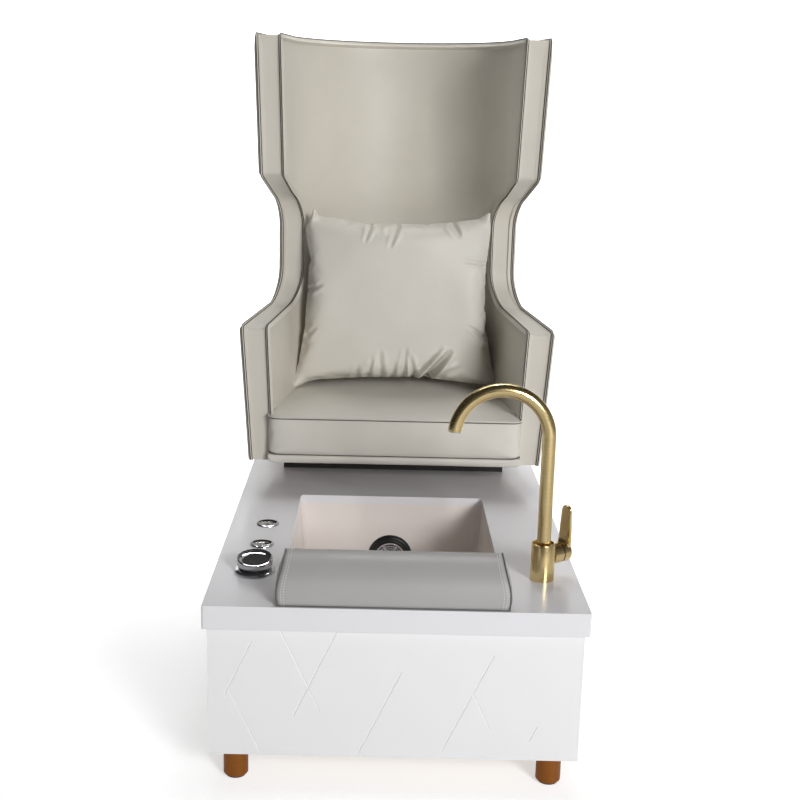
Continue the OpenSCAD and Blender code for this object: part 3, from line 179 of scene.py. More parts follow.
def block(outline: Iterable[Vector], along: Vector) -> Mesh:
    """A block: an outline in metres, drawn out along a vector."""
    bm = bmesh.new()
    return drawn(bm, [bm.faces.new([bm.verts.new(point) for point in outline])], along)


def facing(bm: Mesh, far: Vector, way: Vector) -> Mesh:
    """Turns a sheet so that its face that lies furthest along one vector looks along another."""
    bmesh.ops.recalc_face_normals(bm, faces=bm.faces)
    if max(bm.faces, key=lambda f: f.calc_center_median().dot(far)).normal.dot(way) < 0:
        bmesh.ops.reverse_faces(bm, faces=bm.faces)
    return bm


def joined(parts: Iterable[Mesh]) -> Mesh:
    """One bmesh of several, which are freed."""
    whole = bmesh.new()
    for part in parts:
        mesh = bpy.data.meshes.new("part")
        part.to_mesh(mesh)
        part.free()
        whole.from_mesh(mesh)
        bpy.data.meshes.remove(mesh)
    return whole


def tube(points: Sequence[Vector], radius: float, sides: int = 12, closed: bool = False) -> Mesh:
    """Round tube along a path.

    Args:
        points: The path, in metres.
        radius: The tube's radius in millimetres.
        sides: Faces round the tube.
        closed: Whether the path is a loop.

    Returns:
        A bmesh of the tube, with capped ends where it is open.
    """
    curve = bpy.data.curves.new("path", "CURVE")
    curve.dimensions = "3D"
    curve.bevel_depth = radius * MM
    curve.bevel_resolution = max(0, (sides - 4) // 2)
    curve.use_fill_caps = True
    curve.twist_smooth = 6
    spline = curve.splines.new("POLY")
    spline.points.add(len(points) - 1)
    for slot, point in zip(spline.points, points):
        slot.co = (*point, 1.0)
    spline.use_cyclic_u = closed
    holder = bpy.data.objects.new("path", curve)
    bpy.context.scene.collection.objects.link(holder)
    mesh = bpy.data.meshes.new_from_object(holder)
    bm = bmesh.new()
    bm.from_mesh(mesh)
    bmesh.ops.remove_doubles(bm, verts=bm.verts, dist=0.000001)
    bmesh.ops.recalc_face_normals(bm, faces=bm.faces)
    bpy.data.objects.remove(holder)
    bpy.data.curves.remove(curve)
    bpy.data.meshes.remove(mesh)
    return bm


def resampled(points: Sequence[Vector], step: float) -> list[Vector]:
    """Points along a path, evenly spaced about step millimetres apart."""
    lengths = [0.0]
    for a, b in zip(points, points[1:]):
        lengths.append(lengths[-1] + (b - a).length)
    count = max(2, round(lengths[-1] / (step * MM)))
    result, k = [], 0
    for i in range(count + 1):
        target = lengths[-1] * i / count
        while k < len(points) - 2 and lengths[k + 1] < target:
            k += 1
        span = lengths[k + 1] - lengths[k]
        result.append(points[k].lerp(points[k + 1], (target - lengths[k]) / span if span else 0.0))
    return result


def stitches(path: Sequence[Vector], pitch: float, length: float, radius: float) -> Mesh:
    """Row of sewn stitches lying along a path.

    Args:
        path: The seam's path in metres.
        pitch: Distance from stitch to stitch in millimetres.
        length: Length of a stitch in millimetres.
        radius: Half thickness of the thread in millimetres.

    Returns:
        A bmesh of all the stitches.
    """
    bm = bmesh.new()
    spots = resampled(path, pitch)
    for a, b in zip(spots, spots[1:]):
        way = (b - a).normalized()
        turn = way.to_track_quat("Z", "Y").to_matrix().to_4x4()
        shape = Matrix.Diagonal((radius * MM, radius * MM, length / 2 * MM, 1.0))
        place = Matrix.Translation(a.lerp(b, 0.5)) @ turn @ shape
        bmesh.ops.create_icosphere(bm, subdivisions=1, radius=1.0, matrix=place)
    return bm


def link(name: str, bm: Mesh) -> Piece:
    """Puts a bmesh in the scene as an object at the origin and frees it."""
    mesh = bpy.data.meshes.new(name)
    bm.to_mesh(mesh)
    bm.free()
    obj = bpy.data.objects.new(name, mesh)
    bpy.context.scene.collection.objects.link(obj)
    return obj


def applied(obj: Piece) -> Piece:
    """The object with its modifiers made part of its mesh."""
    old = obj.data
    mesh = bpy.data.meshes.new_from_object(obj.evaluated_get(bpy.context.evaluated_depsgraph_get()))
    obj.modifiers.clear()
    obj.data = mesh
    mesh.name = obj.name
    bpy.data.meshes.remove(old)
    return obj


def modified(obj: Piece, kind: str, **settings: object) -> Piece:
    """The object with one modifier, of the given settings, made part of its mesh."""
    modifier = obj.modifiers.new(kind.lower(), kind)
    for name, value in settings.items():
        setattr(modifier, name, value)
    return applied(obj)


def thickened(obj: Piece, thickness: float, even: bool = True) -> Piece:
    """Gives a sheet a wall behind it.

    Args:
        obj: The sheet, its normals pointing to its show side.
        thickness: The wall in millimetres.
        even: Whether the wall keeps its thickness round sharp corners.

    Returns:
        The object with the wall applied.
    """
    return modified(obj, "SOLIDIFY", thickness=thickness * MM, offset=-1.0, use_even_offset=even,
                    use_quality_normals=True)


def bevelled(obj: Piece, width: float, segments: int = 2, angle: float = 28.0) -> Piece:
    """Rounds every edge that is sharper than an angle.

    Args:
        obj: The piece.
        width: Width of the round in millimetres.
        segments: Faces across the round.
        angle: The least angle in degrees between two faces that is rounded.

    Returns:
        The object with the rounds applied.
    """
    return modified(obj, "BEVEL", width=width * MM, segments=segments, limit_method="ANGLE",
                    angle_limit=math.radians(angle), profile=0.5, use_clamp_overlap=True, harden_normals=False)


def shade(obj: Piece, sharp: float = 40.0) -> Piece:
    """Smooth shading with edges sharper than the angle kept crisp."""
    obj.data.shade_smooth()
    obj.data.set_sharp_from_angle(angle=math.radians(sharp))
    return obj


def copy_of(node: str) -> Mesh:
    """Merged copy of a frame node's mesh, its flat faces made whole."""
    bm = bmesh.new()
    bm.from_mesh(frame["nodes"][node].data)
    bmesh.ops.remove_doubles(bm, verts=bm.verts, dist=0.000002)
    bmesh.ops.dissolve_limit(bm, angle_limit=math.radians(0.4), verts=bm.verts, edges=bm.edges)
    return bm


# ---------------------------------------------------------------- finishes


def linear(colour: str) -> tuple[float, float, float, float]:
    """Linear RGBA of an sRGB hex colour such as '#c2bcb2'."""
    parts = [int(colour[i : i + 2], 16) / 255 for i in (1, 3, 5)]
    return (*[p / 12.92 if p <= 0.04045 else ((p + 0.055) / 1.055) ** 2.4 for p in parts], 1.0)


def add(tree: Tree, kind: str, sockets: dict | None = None, **settings: object) -> Node:
    """Adds a node to a material.

    Args:
        tree: The material's node tree.
        kind: The node's type name.
        sockets: Input name or index to a value, or to the output socket to link.
        settings: The node's own properties.

    Returns:
        The node.
    """
    node = tree.nodes.new(kind)
    for name, value in settings.items():
        setattr(node, name, value)
    for key, value in (sockets or {}).items():
        if isinstance(value, Socket):
            tree.links.new(value, node.inputs[key])
        else:
            node.inputs[key].default_value = value
    return node


def ramp(tree: Tree, value: Socket, reach: Pair, low: float | Socket, high: float) -> Socket:
    """Spreads a value.

    Args:
        tree: The node tree.
        value: The value's socket.
        reach: The values that become low and high.
        low: Result at the first of them.
        high: Result at the second.

    Returns:
        The result's socket.
    """
    settings = {"Value": value, "From Min": reach[0], "From Max": reach[1], "To Min": low, "To Max": high}
    return add(tree, "ShaderNodeMapRange", settings).outputs["Result"]


def cloud(tree: Tree, place: Socket, size: float, detail: float, **more: float) -> Socket:
    """Noise whose patches are size millimetres wide."""
    sockets = {"Vector": place, "Scale": 1 / (size * MM), "Detail": detail, **more}
    return add(tree, "ShaderNodeTexNoise", sockets).outputs["Fac"]


@dataclass(frozen=True)
class Finish:
    """A surface finish: its maker's name, the record's slot, its colour and its gloss."""

    name: str
    slot: str
    colour: str
    roughness: float
    metallic: float = 0.0

    def material(self) -> bpy.types.Material:
        """The material, made once."""
        made = bpy.data.materials.get(self.name)
        if made is not None:
            return made
        made = bpy.data.materials.new(self.name)
        made.use_nodes = True
        tree = made.node_tree
        shader = tree.nodes["Principled BSDF"]
        shader.inputs["Base Color"].default_value = linear(self.colour)
        shader.inputs["Roughness"].default_value = self.roughness
        shader.inputs["Metallic"].default_value = self.metallic
        place = add(tree, "ShaderNodeTexCoord").outputs["Object"]
        self.dress(tree, shader, place)
        return made

    def dress(self, tree: Tree, shader: Node, place: Socket) -> None:
        """Adds the finish's own pattern. A plain finish gets a faint unevenness of its gloss."""
        self.vary(tree, shader, place, 30.0, 0.04)

    def vary(self, tree: Tree, shader: Node, place: Socket, size: float, amount: float) -> None:
        """Lets the roughness wander.

        Args:
            tree: The node tree.
            shader: Its Principled node.
            place: Object coordinates.
            size: Size of a patch in millimetres.
            amount: How far the roughness goes to each side.
        """
        patch = cloud(tree, place, size, 4.0)
        spread = ramp(tree, patch, (0.3, 0.7), max(0.02, self.roughness - amount), self.roughness + amount)
        tree.links.new(spread, shader.inputs["Roughness"])

    def tint(self, tree: Tree, shader: Node, factor: Socket, other: str) -> None:
        """Mixes the base colour with another by a factor socket."""
        mix = add(tree, "ShaderNodeMix", {0: factor, 6: linear(self.colour), 7: linear(other)}, data_type="RGBA")
        tree.links.new(mix.outputs[2], shader.inputs["Base Color"])

    def bump(self, tree: Tree, shader: Node, height: Socket, depth: float, strength: float) -> None:
        """Relief of a depth in millimetres from a height socket."""
        relief = add(tree, "ShaderNodeBump", {"Height": height, "Distance": depth * MM, "Strength": strength})
        tree.links.new(relief.outputs["Normal"], shader.inputs["Normal"])


@dataclass(frozen=True)
class FauxLeather(Finish):
    """Calendered PVC on knit: a fine pebble grain, even colour, a soft broad highlight."""

    shade_colour: str = "#aaa398"
    pebble: float = 1.5

    def dress(self, tree: Tree, shader: Node, place: Socket) -> None:
        """Pebble grain, drawn a little coarser than the real 0.8 mm so that it shows, and a cloudy tone."""
        tone = cloud(tree, place, 170, 3.0, Roughness=0.6)
        self.tint(tree, shader, ramp(tree, tone, (0.35, 0.75), 0.0, 0.16), self.shade_colour)
        pebbles = {"Vector": place, "Scale": 1 / (self.pebble * MM)}
        grain = add(tree, "ShaderNodeTexVoronoi", pebbles, feature="SMOOTH_F1").outputs["Distance"]
        fine = cloud(tree, place, 0.6 * self.pebble, 2.0)
        height = add(tree, "ShaderNodeMath", {0: grain, 1: fine}, operation="ADD")
        self.bump(tree, shader, height.outputs[0], 0.1, 0.35)
        self.vary(tree, shader, place, 90.0, 0.05)
        shader.inputs["Specular IOR Level"].default_value = 0.42
        shader.inputs["Sheen Weight"].default_value = 0.06
        shader.inputs["Sheen Roughness"].default_value = 0.5


@dataclass(frozen=True)
class CoatedWhite(Finish):
    """Polished solid surface, lacquer or acrylic: gloss with a faint orange peel."""

    peel: float = 6.0
    peel_depth: float = 0.02

    def dress(self, tree: Tree, shader: Node, place: Socket) -> None:
        """A slow waviness in the gloss, as a sprayed or pressed sheet has."""
        self.bump(tree, shader, cloud(tree, place, self.peel, 1.5), self.peel_depth, 0.4)
        self.vary(tree, shader, place, 120.0, 0.03)


@dataclass(frozen=True)
class BrushedMetal(Finish):
    """Metal brushed round its axis: hair lines that widen the highlight along the piece."""

    spacing: float = 0.5
    worn: str = "#8b7440"

    def dress(self, tree: Tree, shader: Node, place: Socket) -> None:
        """Hair lines, far longer round the piece than along it."""
        along = 1 / (self.spacing * MM)
        lay = add(tree, "ShaderNodeMapping", {"Vector": place, "Scale": (along / 90, along / 90, along)})
        hair = cloud(tree, lay.outputs["Vector"], UNIT, 3.0, Roughness=0.65)
        self.tint(tree, shader, ramp(tree, hair, (0.3, 0.8), 0.0, 0.4), self.worn)
        gloss = ramp(tree, hair, (0.3, 0.7), self.roughness - 0.06, self.roughness + 0.08)
        tree.links.new(gloss, shader.inputs["Roughness"])
        self.bump(tree, shader, hair, 0.01, 0.5)


@dataclass(frozen=True)
class Timber(Finish):
    """Plywood or board: long grain with plies or pores across it."""

    dark: str = "#9a7446"
    ply: float = 1.6

    def dress(self, tree: Tree, shader: Node, place: Socket) -> None:
        """Long grain along the plinth, and plies at the cut edges."""
        lay = add(tree, "ShaderNodeMapping", {"Vector": place, "Scale": (60.0, 4.0, 1 / (self.ply * MM) / 6)})
        grain = cloud(tree, lay.outputs["Vector"], UNIT, 5.0, Distortion=0.6)
        self.tint(tree, shader, grain, self.dark)
        self.bump(tree, shader, grain, 0.15, 0.5)


@dataclass(frozen=True)
class Woven(Finish):
    """Webbing or braid: crossed ribs."""

    rib: float = 2.0

    def dress(self, tree: Tree, shader: Node, place: Socket) -> None:
        """Two crossed sets of ribs."""
        turned = add(tree, "ShaderNodeMapping", {"Vector": place, "Rotation": (0.0, 0.0, math.radians(45))})
        ribs = add(tree, "ShaderNodeTexWave", {"Vector": turned.outputs["Vector"], "Scale": 0.3 / (self.rib * MM)})
        cross = add(tree, "ShaderNodeTexWave", {"Vector": place, "Scale": 0.3 / (self.rib * MM)}, bands_direction="Z")
        height = add(tree, "ShaderNodeMath", {0: ribs.outputs["Fac"], 1: cross.outputs["Fac"]}, operation="MULTIPLY")
        self.bump(tree, shader, height.outputs[0], 0.4, 0.8)


LEATHER = FauxLeather("greige faux leather", "greige_leather", "#d3cec3", 0.5)
# the shell's greige leather made lighter for the pillow, seat cushion and rail: painted light, as these pieces stand
# forward of the shell and catch more light
LIT_LEATHER = FauxLeather("greige faux leather lightened as painted light", "greige_leather", "#dad6cd", 0.5)
GREY_LEATHER = FauxLeather("grey faux leather", "grey_leather", "#abaaa9", 0.46, shade_colour="#8c8c8c")
# welt cord darker than the pad: partly its own colour, partly painted shade of the end seams and of the line where
# the pad meets the worktop
WELT_AND_SHADE = FauxLeather("dark grey faux leather cord with painted shade", "grey_leather", "#6a6968", 0.5, shade_colour="#575655")
THREAD = Finish("grey polyester thread", "grey_leather", "#dededb", 0.6)
# thin dark cords beside the seams: painted shade of the creases along the piping
SEAM_SHADOW = Finish("painted seam shadow", "greige_leather", "#4a433c", 0.8)
WORKTOP = CoatedWhite("white solid surface", "worktop_gloss", "#e6e5e8", 0.22)
LACQUER = CoatedWhite("white lacquered board", "panel_lacquer", "#efeff0", 0.34, peel=9.0, peel_depth=0.003)
ACRYLIC = CoatedWhite("warm white acrylic", "tub_acrylic", "#eae2dd", 0.14)
CHROME = Finish("polished chrome plate", "chrome", "#cbcbce", 0.05, metallic=1.0)
GOLD = BrushedMetal("brushed gold plate", "brushed_gold", "#e6ce98", 0.21, metallic=1.0)
BRONZE = BrushedMetal("bronze lacquered steel", "bronze_leg", "#a5652a", 0.34, 0.7, spacing=0.8, worn="#7c4a1a")
ZINC = BrushedMetal("zinc plated steel", "zinc_steel", "#a9abac", 0.38, metallic=1.0, worn="#8c8e90")
BRASS = BrushedMetal("turned brass", "brass", "#c8a35a", 0.28, metallic=1.0, worn="#9c7c3c")
BRAID = Woven("braided stainless steel", "braided_steel", "#9a9a9a", 0.35, metallic=1.0, rib=1.5)
BLACK_ABS = Finish("black moulded ABS", "black_plastic", "#1d1c1b", 0.36)
GREY_ABS = Finish("grey moulded ABS", "grey_plastic", "#7a7c7e", 0.45)
RUBBER = Finish("black moulded rubber", "black_rubber", "#161616", 0.6)
ENAMEL = Finish("motor enamel", "motor_paint", "#3a444d", 0.4)
PLYWOOD = Timber("birch plywood", "birch_ply", "#cdb083", 0.6)
# near-black board for the dark_wood slot, such as the riser under the seat: painted shade, so that what shows in the
# gap under the seat reads as shadow
SHADE_BLACK_BOARD = Timber("dark stained board", "dark_wood", "#2b2724", 0.5, dark="#171412")
WEBBING = Woven("elastic webbing", "webbing", "#17171a", 0.8, rib=2.5)
FINISHES = {f.slot: f for f in (LEATHER, GREY_LEATHER, WORKTOP, LACQUER, ACRYLIC, CHROME, GOLD, BRONZE, ZINC, BRASS,
                                BRAID, BLACK_ABS, GREY_ABS, RUBBER, ENAMEL, PLYWOOD, SHADE_BLACK_BOARD, WEBBING)}


def finished(obj: Piece, finish: Finish, replaces: Sequence[str] = (), sharp: float = 40.0,
             body: Body = Body.BASE) -> Piece:
    """Dresses a piece and ties it to the frame.

    Args:
        obj: The piece, in place.
        finish: Its finish.
        replaces: The frame's nodes that it stands for.
        sharp: Edges sharper than this angle in degrees stay crisp.
        body: The body that it moves with.

    Returns:
        The piece.
    """
    obj.data.materials.clear()
    obj.data.materials.append(finish.material())
    shade(obj, sharp)
    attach(obj, body.value)
    if replaces:
        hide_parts(*replaces)
    LOG.info("%s: %d faces, rides on %s", obj.name, len(obj.data.polygons), body.value)
    return obj


def dress_frame() -> None:
    """Gives every node of the frame the finish of its own slot."""
    for row in frame["record"]["subparts"]:
        obj = frame["nodes"][row["node"]]
        obj.data.materials.clear()
        obj.data.materials.append(FINISHES[row["material_slot"]].material())


def softened(node: str, finish: Finish, width: float, segments: int = 2, body: Body = Body.BASE) -> None:
    """Makes a rigid node again, with its edges eased as the real piece's are.

    Args:
        node: The frame's node.
        finish: The piece's finish.
        width: Width of the eased edge in millimetres.
        segments: Faces across the eased edge.
        body: The body that it moves with.
    """
    obj = bevelled(link(f"{node}_eased", copy_of(node)), width, segments)
    modified(finished(obj, finish, [node], 50.0, body), "WEIGHTED_NORMAL", keep_sharp=True)


# ---------------------------------------------------------------- padding


def blown(obj: Piece, steps: int, stiffness: Triple, **settings: float | str) -> None:
    """Simulates a closed cover as cloth with air inside and keeps its last shape.

    Args:
        obj: The cover, of small quads.
        steps: Frames of the simulation.
        stiffness: Stiffness in tension, compression and shear.
        settings: The cloth's other properties.
    """
    cloth = obj.modifiers.new("cloth", "CLOTH")
    tension, compression, shear = stiffness
    settings |= {"tension_stiffness": tension, "compression_stiffness": compression, "shear_stiffness": shear,
                 "use_pressure": True}
    for name, value in settings.items():
        setattr(cloth.settings, name, value)
    cloth.settings.effector_weights.gravity = 0.0
    cloth.collision_settings.use_collision = False
    cloth.point_cache.frame_start = 1
    cloth.point_cache.frame_end = steps
    for step in range(1, steps + 1):
        bpy.context.scene.frame_set(step)
    applied(obj)
    bpy.context.scene.frame_set(1)


@dataclass(frozen=True)
class Padding:
    """How a stuffed piece swells: voxel of its mesh, air pressure, steps and the most that a point moves."""

    voxel: float = 6.0
    pressure: float = 4.0
    steps: int = 20
    cap: float = 12.0
    stiffness: float = 15.0
    bending: float = 0.5

    def remeshed(self, obj: Piece) -> Piece:
        """The piece as even small quads."""
        return modified(obj, "REMESH", mode="VOXEL", voxel_size=self.voxel * MM, use_smooth_shade=True)

    def swell(self, obj: Piece, held: Callable[[Vector], float]) -> None:
        """Blows the piece up like a stuffed cover.

        Args:
            obj: The piece, already of small quads.
            held: Gives 1 where a seam holds the cover in place and 0 where it is free.
        """
        rest = [v.co.copy() for v in obj.data.vertices]
        seam = obj.vertex_groups.new(name="seam")
        for index, co in enumerate(rest):
            weight = min(max(held(co), 0.0), 1.0)
            if weight > 0.01:
                seam.add([index], weight, "REPLACE")
        blown(obj, self.steps, (self.stiffness, self.stiffness, self.stiffness / 3), quality=6, mass=0.25,
              bending_stiffness=self.bending, uniform_pressure_force=self.pressure, vertex_group_mass="seam")
        for v, start in zip(obj.data.vertices, rest):
            shift = v.co - start
            if shift.length > self.cap * MM:
                shift *= self.cap * MM / shift.length
            v.co = start + shift


# ---------------------------------------------------------------- plinth


@dataclass
class Plinth:
    """The white box with its worktop, panels and legs."""

    worktop_ease: float = 1.6
    groove_ease: float = 0.5
    cover_ease: float = 0.8
    panel_ease: float = 1.0
    leg_ease: float = 1.4

    def build(self) -> None:
        """Eases the edges of every plinth piece that shows."""
        softened("worktop", WORKTOP, self.worktop_ease, 3)
        softened("front_panel", LACQUER, self.groove_ease)
        for side in ("left", "right"):
            softened(f"side_panel_{side}", LACQUER, self.panel_ease)
            for end in ("front", "rear"):
                softened(f"leg_{end}_{side}", BRONZE, self.leg_ease)
        softened("rear_panel", LACQUER, self.panel_ease)
        softened("access_cover", LACQUER, self.cover_ease)
        # the riser is near black as painted shade under the seat
        softened("chair_riser", SHADE_BLACK_BOARD, self.panel_ease)


@dataclass
class FootTub:
    """The moulded tub with its drain and water jet."""

    corner_r: float = 14.0
    floor_r: float = 20.0
    wall: float = 5.0
    flange: float = 25.0
    side_lean: float = 16.0
    jet_centre: Triple = (-6.0, 11.0, 233.0)
    drain_centre: Pair = (-6.0, -240.0)
    jet_hole_r: float = 42.3
    drain_hole_r: float = 23.3
    wall_steps: int = 6
    round_steps: int = 8

    def build(self) -> None:
        """Basin, jet ring and eased fittings."""
        self.basin()
        self.jet_ring()
        softened("jet_cover", CHROME, 0.3)
        softened("drain_body", CHROME, 0.4)
        softened("drain_plug", CHROME, 0.8, 3, Body.PLUG)

    def at_jet(self) -> Matrix:
        """Place of the jet's frame, whose Z points out of the back wall."""
        return Matrix.Translation(mm(*self.jet_centre)) @ ACROSS

    def basin(self) -> None:
        """Rounded basin with its flange, pierced for the jet and the drain."""
        low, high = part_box("tub")
        low, high = low / MM, high / MM
        mid, half = (low + high) / 2, (high - low) / 2
        half_x, half_y = half.x - self.flange, half.y - self.flange
        bm = bmesh.new()
        bmesh.ops.create_grid(bm, x_segments=1, y_segments=1, size=1.0)
        for v in bm.verts:
            v.co = mm(mid.x + math.copysign(half_x, v.co.x), mid.y + math.copysign(half_y, v.co.y), high.z)
        bmesh.ops.bevel(bm, geom=bm.verts[:], offset=self.corner_r * MM, segments=self.round_steps, profile=0.5,
                        affect="VERTICES", material=-1)
        ring = bm.edges[:]
        bmesh.ops.delete(bm, geom=bm.faces[:], context="FACES_ONLY")
        self.ringed(bm, ring, mid, self.flange, 0.0)
        depth = high.z - low.z - self.wall - self.floor_r
        count = self.wall_steps
        for _ in range(count):
            ring = self.ringed(bm, ring, mid, -self.side_lean / count, -depth / count, upright_back=True)
        for k in range(self.round_steps):
            a, b = math.pi / 2 * k / self.round_steps, math.pi / 2 * (k + 1) / self.round_steps
            inset = -self.floor_r * (math.cos(a) - math.cos(b))
            ring = self.ringed(bm, ring, mid, inset, -self.floor_r * (math.sin(b) - math.sin(a)))
        bmesh.ops.contextual_create(bm, geom=ring)
        obj = thickened(link("tub_basin", facing(bm, -UP, UP)), self.wall)
        self.pierce(obj, self.jet_hole_r, self.at_jet())
        self.pierce(obj, self.drain_hole_r, Matrix.Translation(mm(*self.drain_centre, low.z + self.wall)))
        finished(obj, ACRYLIC, ["tub"])

    def ringed(self, bm: Mesh, ring: Sequence[Edge], mid: Vector, out: float, rise: float,
               upright_back: bool = False) -> list[Edge]:
        """Extrudes a ring of the basin.

        Args:
            bm: The basin.
            ring: Its present lowest ring.
            mid: Middle of the basin in millimetres.
            out: How far the ring goes outwards.
            rise: How far the ring goes up.
            upright_back: Whether the back goes straight up or down.

        Returns:
            The new ring.
        """
        verts, edges = extruded(bm, ring)
        for v in verts:
            behind = v.co.y > mid.y * MM
            shift_y = 0.0 if upright_back and behind else out
            v.co += mm(math.copysign(1, v.co.x - mid.x * MM) * out, (1 if behind else -1) * shift_y, rise)
        return edges

    def pierce(self, obj: Piece, radius: float, place: Matrix) -> None:
        """Cuts a round hole through a piece."""
        reach = 30
        drill = link("drill", moved(revolve([(0, -reach), (radius, -reach), (radius, reach), (0, reach)]), place))
        modified(obj, "BOOLEAN", object=drill, operation="DIFFERENCE", solver="EXACT")
        bpy.data.objects.remove(drill)

    def jet_ring(self) -> None:
        """Black face ring with its raised bead and shallow steps."""
        face = [(37.8, 2.0), (37.8, 7.6), (38.6, 8.6), (40.0, 9.0), (41.6, 9.0), (42.4, 8.2), (43.6, 7.8),
                (45.0, 8.0), (46.0, 8.6), (47.6, 8.6), (48.4, 7.8), (50.0, 7.0), (52.0, 5.8), (53.8, 4.0),
                (54.8, 1.8), (55.0, 0.0), (42.0, 0.0), (42.0, -36.0), (35.0, -36.0), (35.0, 2.0), (37.8, 2.0)]
        pin = [(0, -34), (3, -34), (3, 0), (0, 0)]
        parts = [moved(revolve(outline, steps), self.at_jet()) for outline, steps in ((face, 96), (pin, 24))]
        finished(link("jet_ring", joined(parts)), BLACK_ABS, ["jet_body"], TURNED)


# ---------------------------------------------------------------- controls


@dataclass
class Controls:
    """Two push buttons and the drain knob."""

    x: float = -291.0
    top_z: float = 388.0
    front_button_y: float = -356.0
    rear_button_y: float = -217.0
    knob_y: float = -514.0
    knob_tilt: float = 0.158

    def build(self) -> None:
        """All three controls."""
        self.bezels()
        self.cap("front", self.front_button_y, Body.FRONT_BUTTON)
        self.cap("rear", self.rear_button_y, Body.REAR_BUTTON)
        self.knob_base()
        self.knob()

    def at(self, y: float) -> Matrix:
        """Place of a control's own frame, whose zero is the worktop."""
        return Matrix.Translation(mm(self.x, y, self.top_z))

    def placed(self, name: str, bm: Mesh, y: float, node: str, body: Body = Body.BASE) -> None:
        """A chrome piece, made round its own axis, at its place along the left side."""
        finished(link(name, moved(bm, self.at(y))), CHROME, [node], TURNED, body)

    def bezels(self) -> None:
        """Chrome bezels: rolled lip, bowl and neck."""
        outline = [(18.6, -42.0), (18.6, -1.2), (19.4, -0.6), (20.6, 0.2), (21.8, 1.3), (22.6, 2.3), (23.4, 2.9),
                   (24.3, 3.0), (25.2, 2.6), (25.8, 1.6), (26.0, 0.6), (26.0, 0.0), (22.0, 0.0), (22.0, -46.0),
                   (3.0, -46.0), (3.0, -56.0), (1.5, -56.0), (1.5, -43.0), (18.6, -43.0), (18.6, -42.0)]
        parts = [moved(revolve(outline, 72), self.at(y)) for y in (self.front_button_y, self.rear_button_y)]
        finished(link("button_bowls", joined(parts)), CHROME, ["button_bezels"], TURNED)

    def cap(self, end: str, y: float, body: Body) -> None:
        """Dished cap with a raised rim, and rings turned into the dish."""
        outline = [(0.0, -2.2), (3.0, -2.25), (3.6, -1.8), (4.4, -1.75), (5.0, -2.2), (9.0, -1.9), (13.0, -1.2),
                   (15.6, -0.35), (16.6, 0.0), (17.6, -0.1), (18.3, -0.6), (18.5, -1.4), (18.5, -16.0),
                   (0.0, -16.0)]
        self.placed(f"button_{end}_cap", revolve(outline, 72), y, f"button_cap_{end}", body)

    def knob_base(self) -> None:
        """Flat ring round the knob with a rolled edge and a turned step."""
        outline = [(6.06, -46.0), (6.06, 6.0), (30.0, 6.0), (36.0, 6.0), (38.6, 5.9), (39.4, 5.2), (40.0, 4.2),
                   (41.0, 3.7), (41.9, 3.0), (42.4, 1.6), (42.5, 0.0), (22.0, 0.0), (22.0, -46.0), (6.06, -46.0)]
        self.placed("knob_base_ring", revolve(outline, 96), self.knob_y, "knob_flange")

    def knob(self) -> None:
        """Turned knob: waisted foot, straight wall, thin rim and a flat dish that slopes to the front."""
        foot = 6.3
        wall = [(0, 0), (33.0, 0), (33.8, 0.6), (35.6, 4.2), (36.6, 7.4), (37.0, 9.0)]
        rim = [(37.0, 19.6), (36.8, 21.2), (36.1, 22.2), (35.1, 22.4), (34.2, 21.8), (33.2, 20.4)]
        dish = [(32.8, 19.2), (32.0, 18.2), (30.4, 17.5), (26.0, 17.0), (20.0, 16.7), (12.0, 16.5), (5.0, 16.4),
                (0.0, 16.4)]
        bm = revolve([(r, foot + z) for r, z in (*wall, *rim, *dish)], 96)
        for v in bm.verts:
            height = v.co.z / MM - foot
            v.co.z += self.knob_tilt * v.co.y * smoothstep((height - 8.0) / 10.0)
        spindle = revolve([(0, -57.0), (6.0, -57.0), (6.0, foot + 1), (0, foot + 1)], 32)
        self.placed("knob_turned", joined([bm, spindle]), self.knob_y, "drain_knob", Body.KNOB)


# ---------------------------------------------------------------- tap


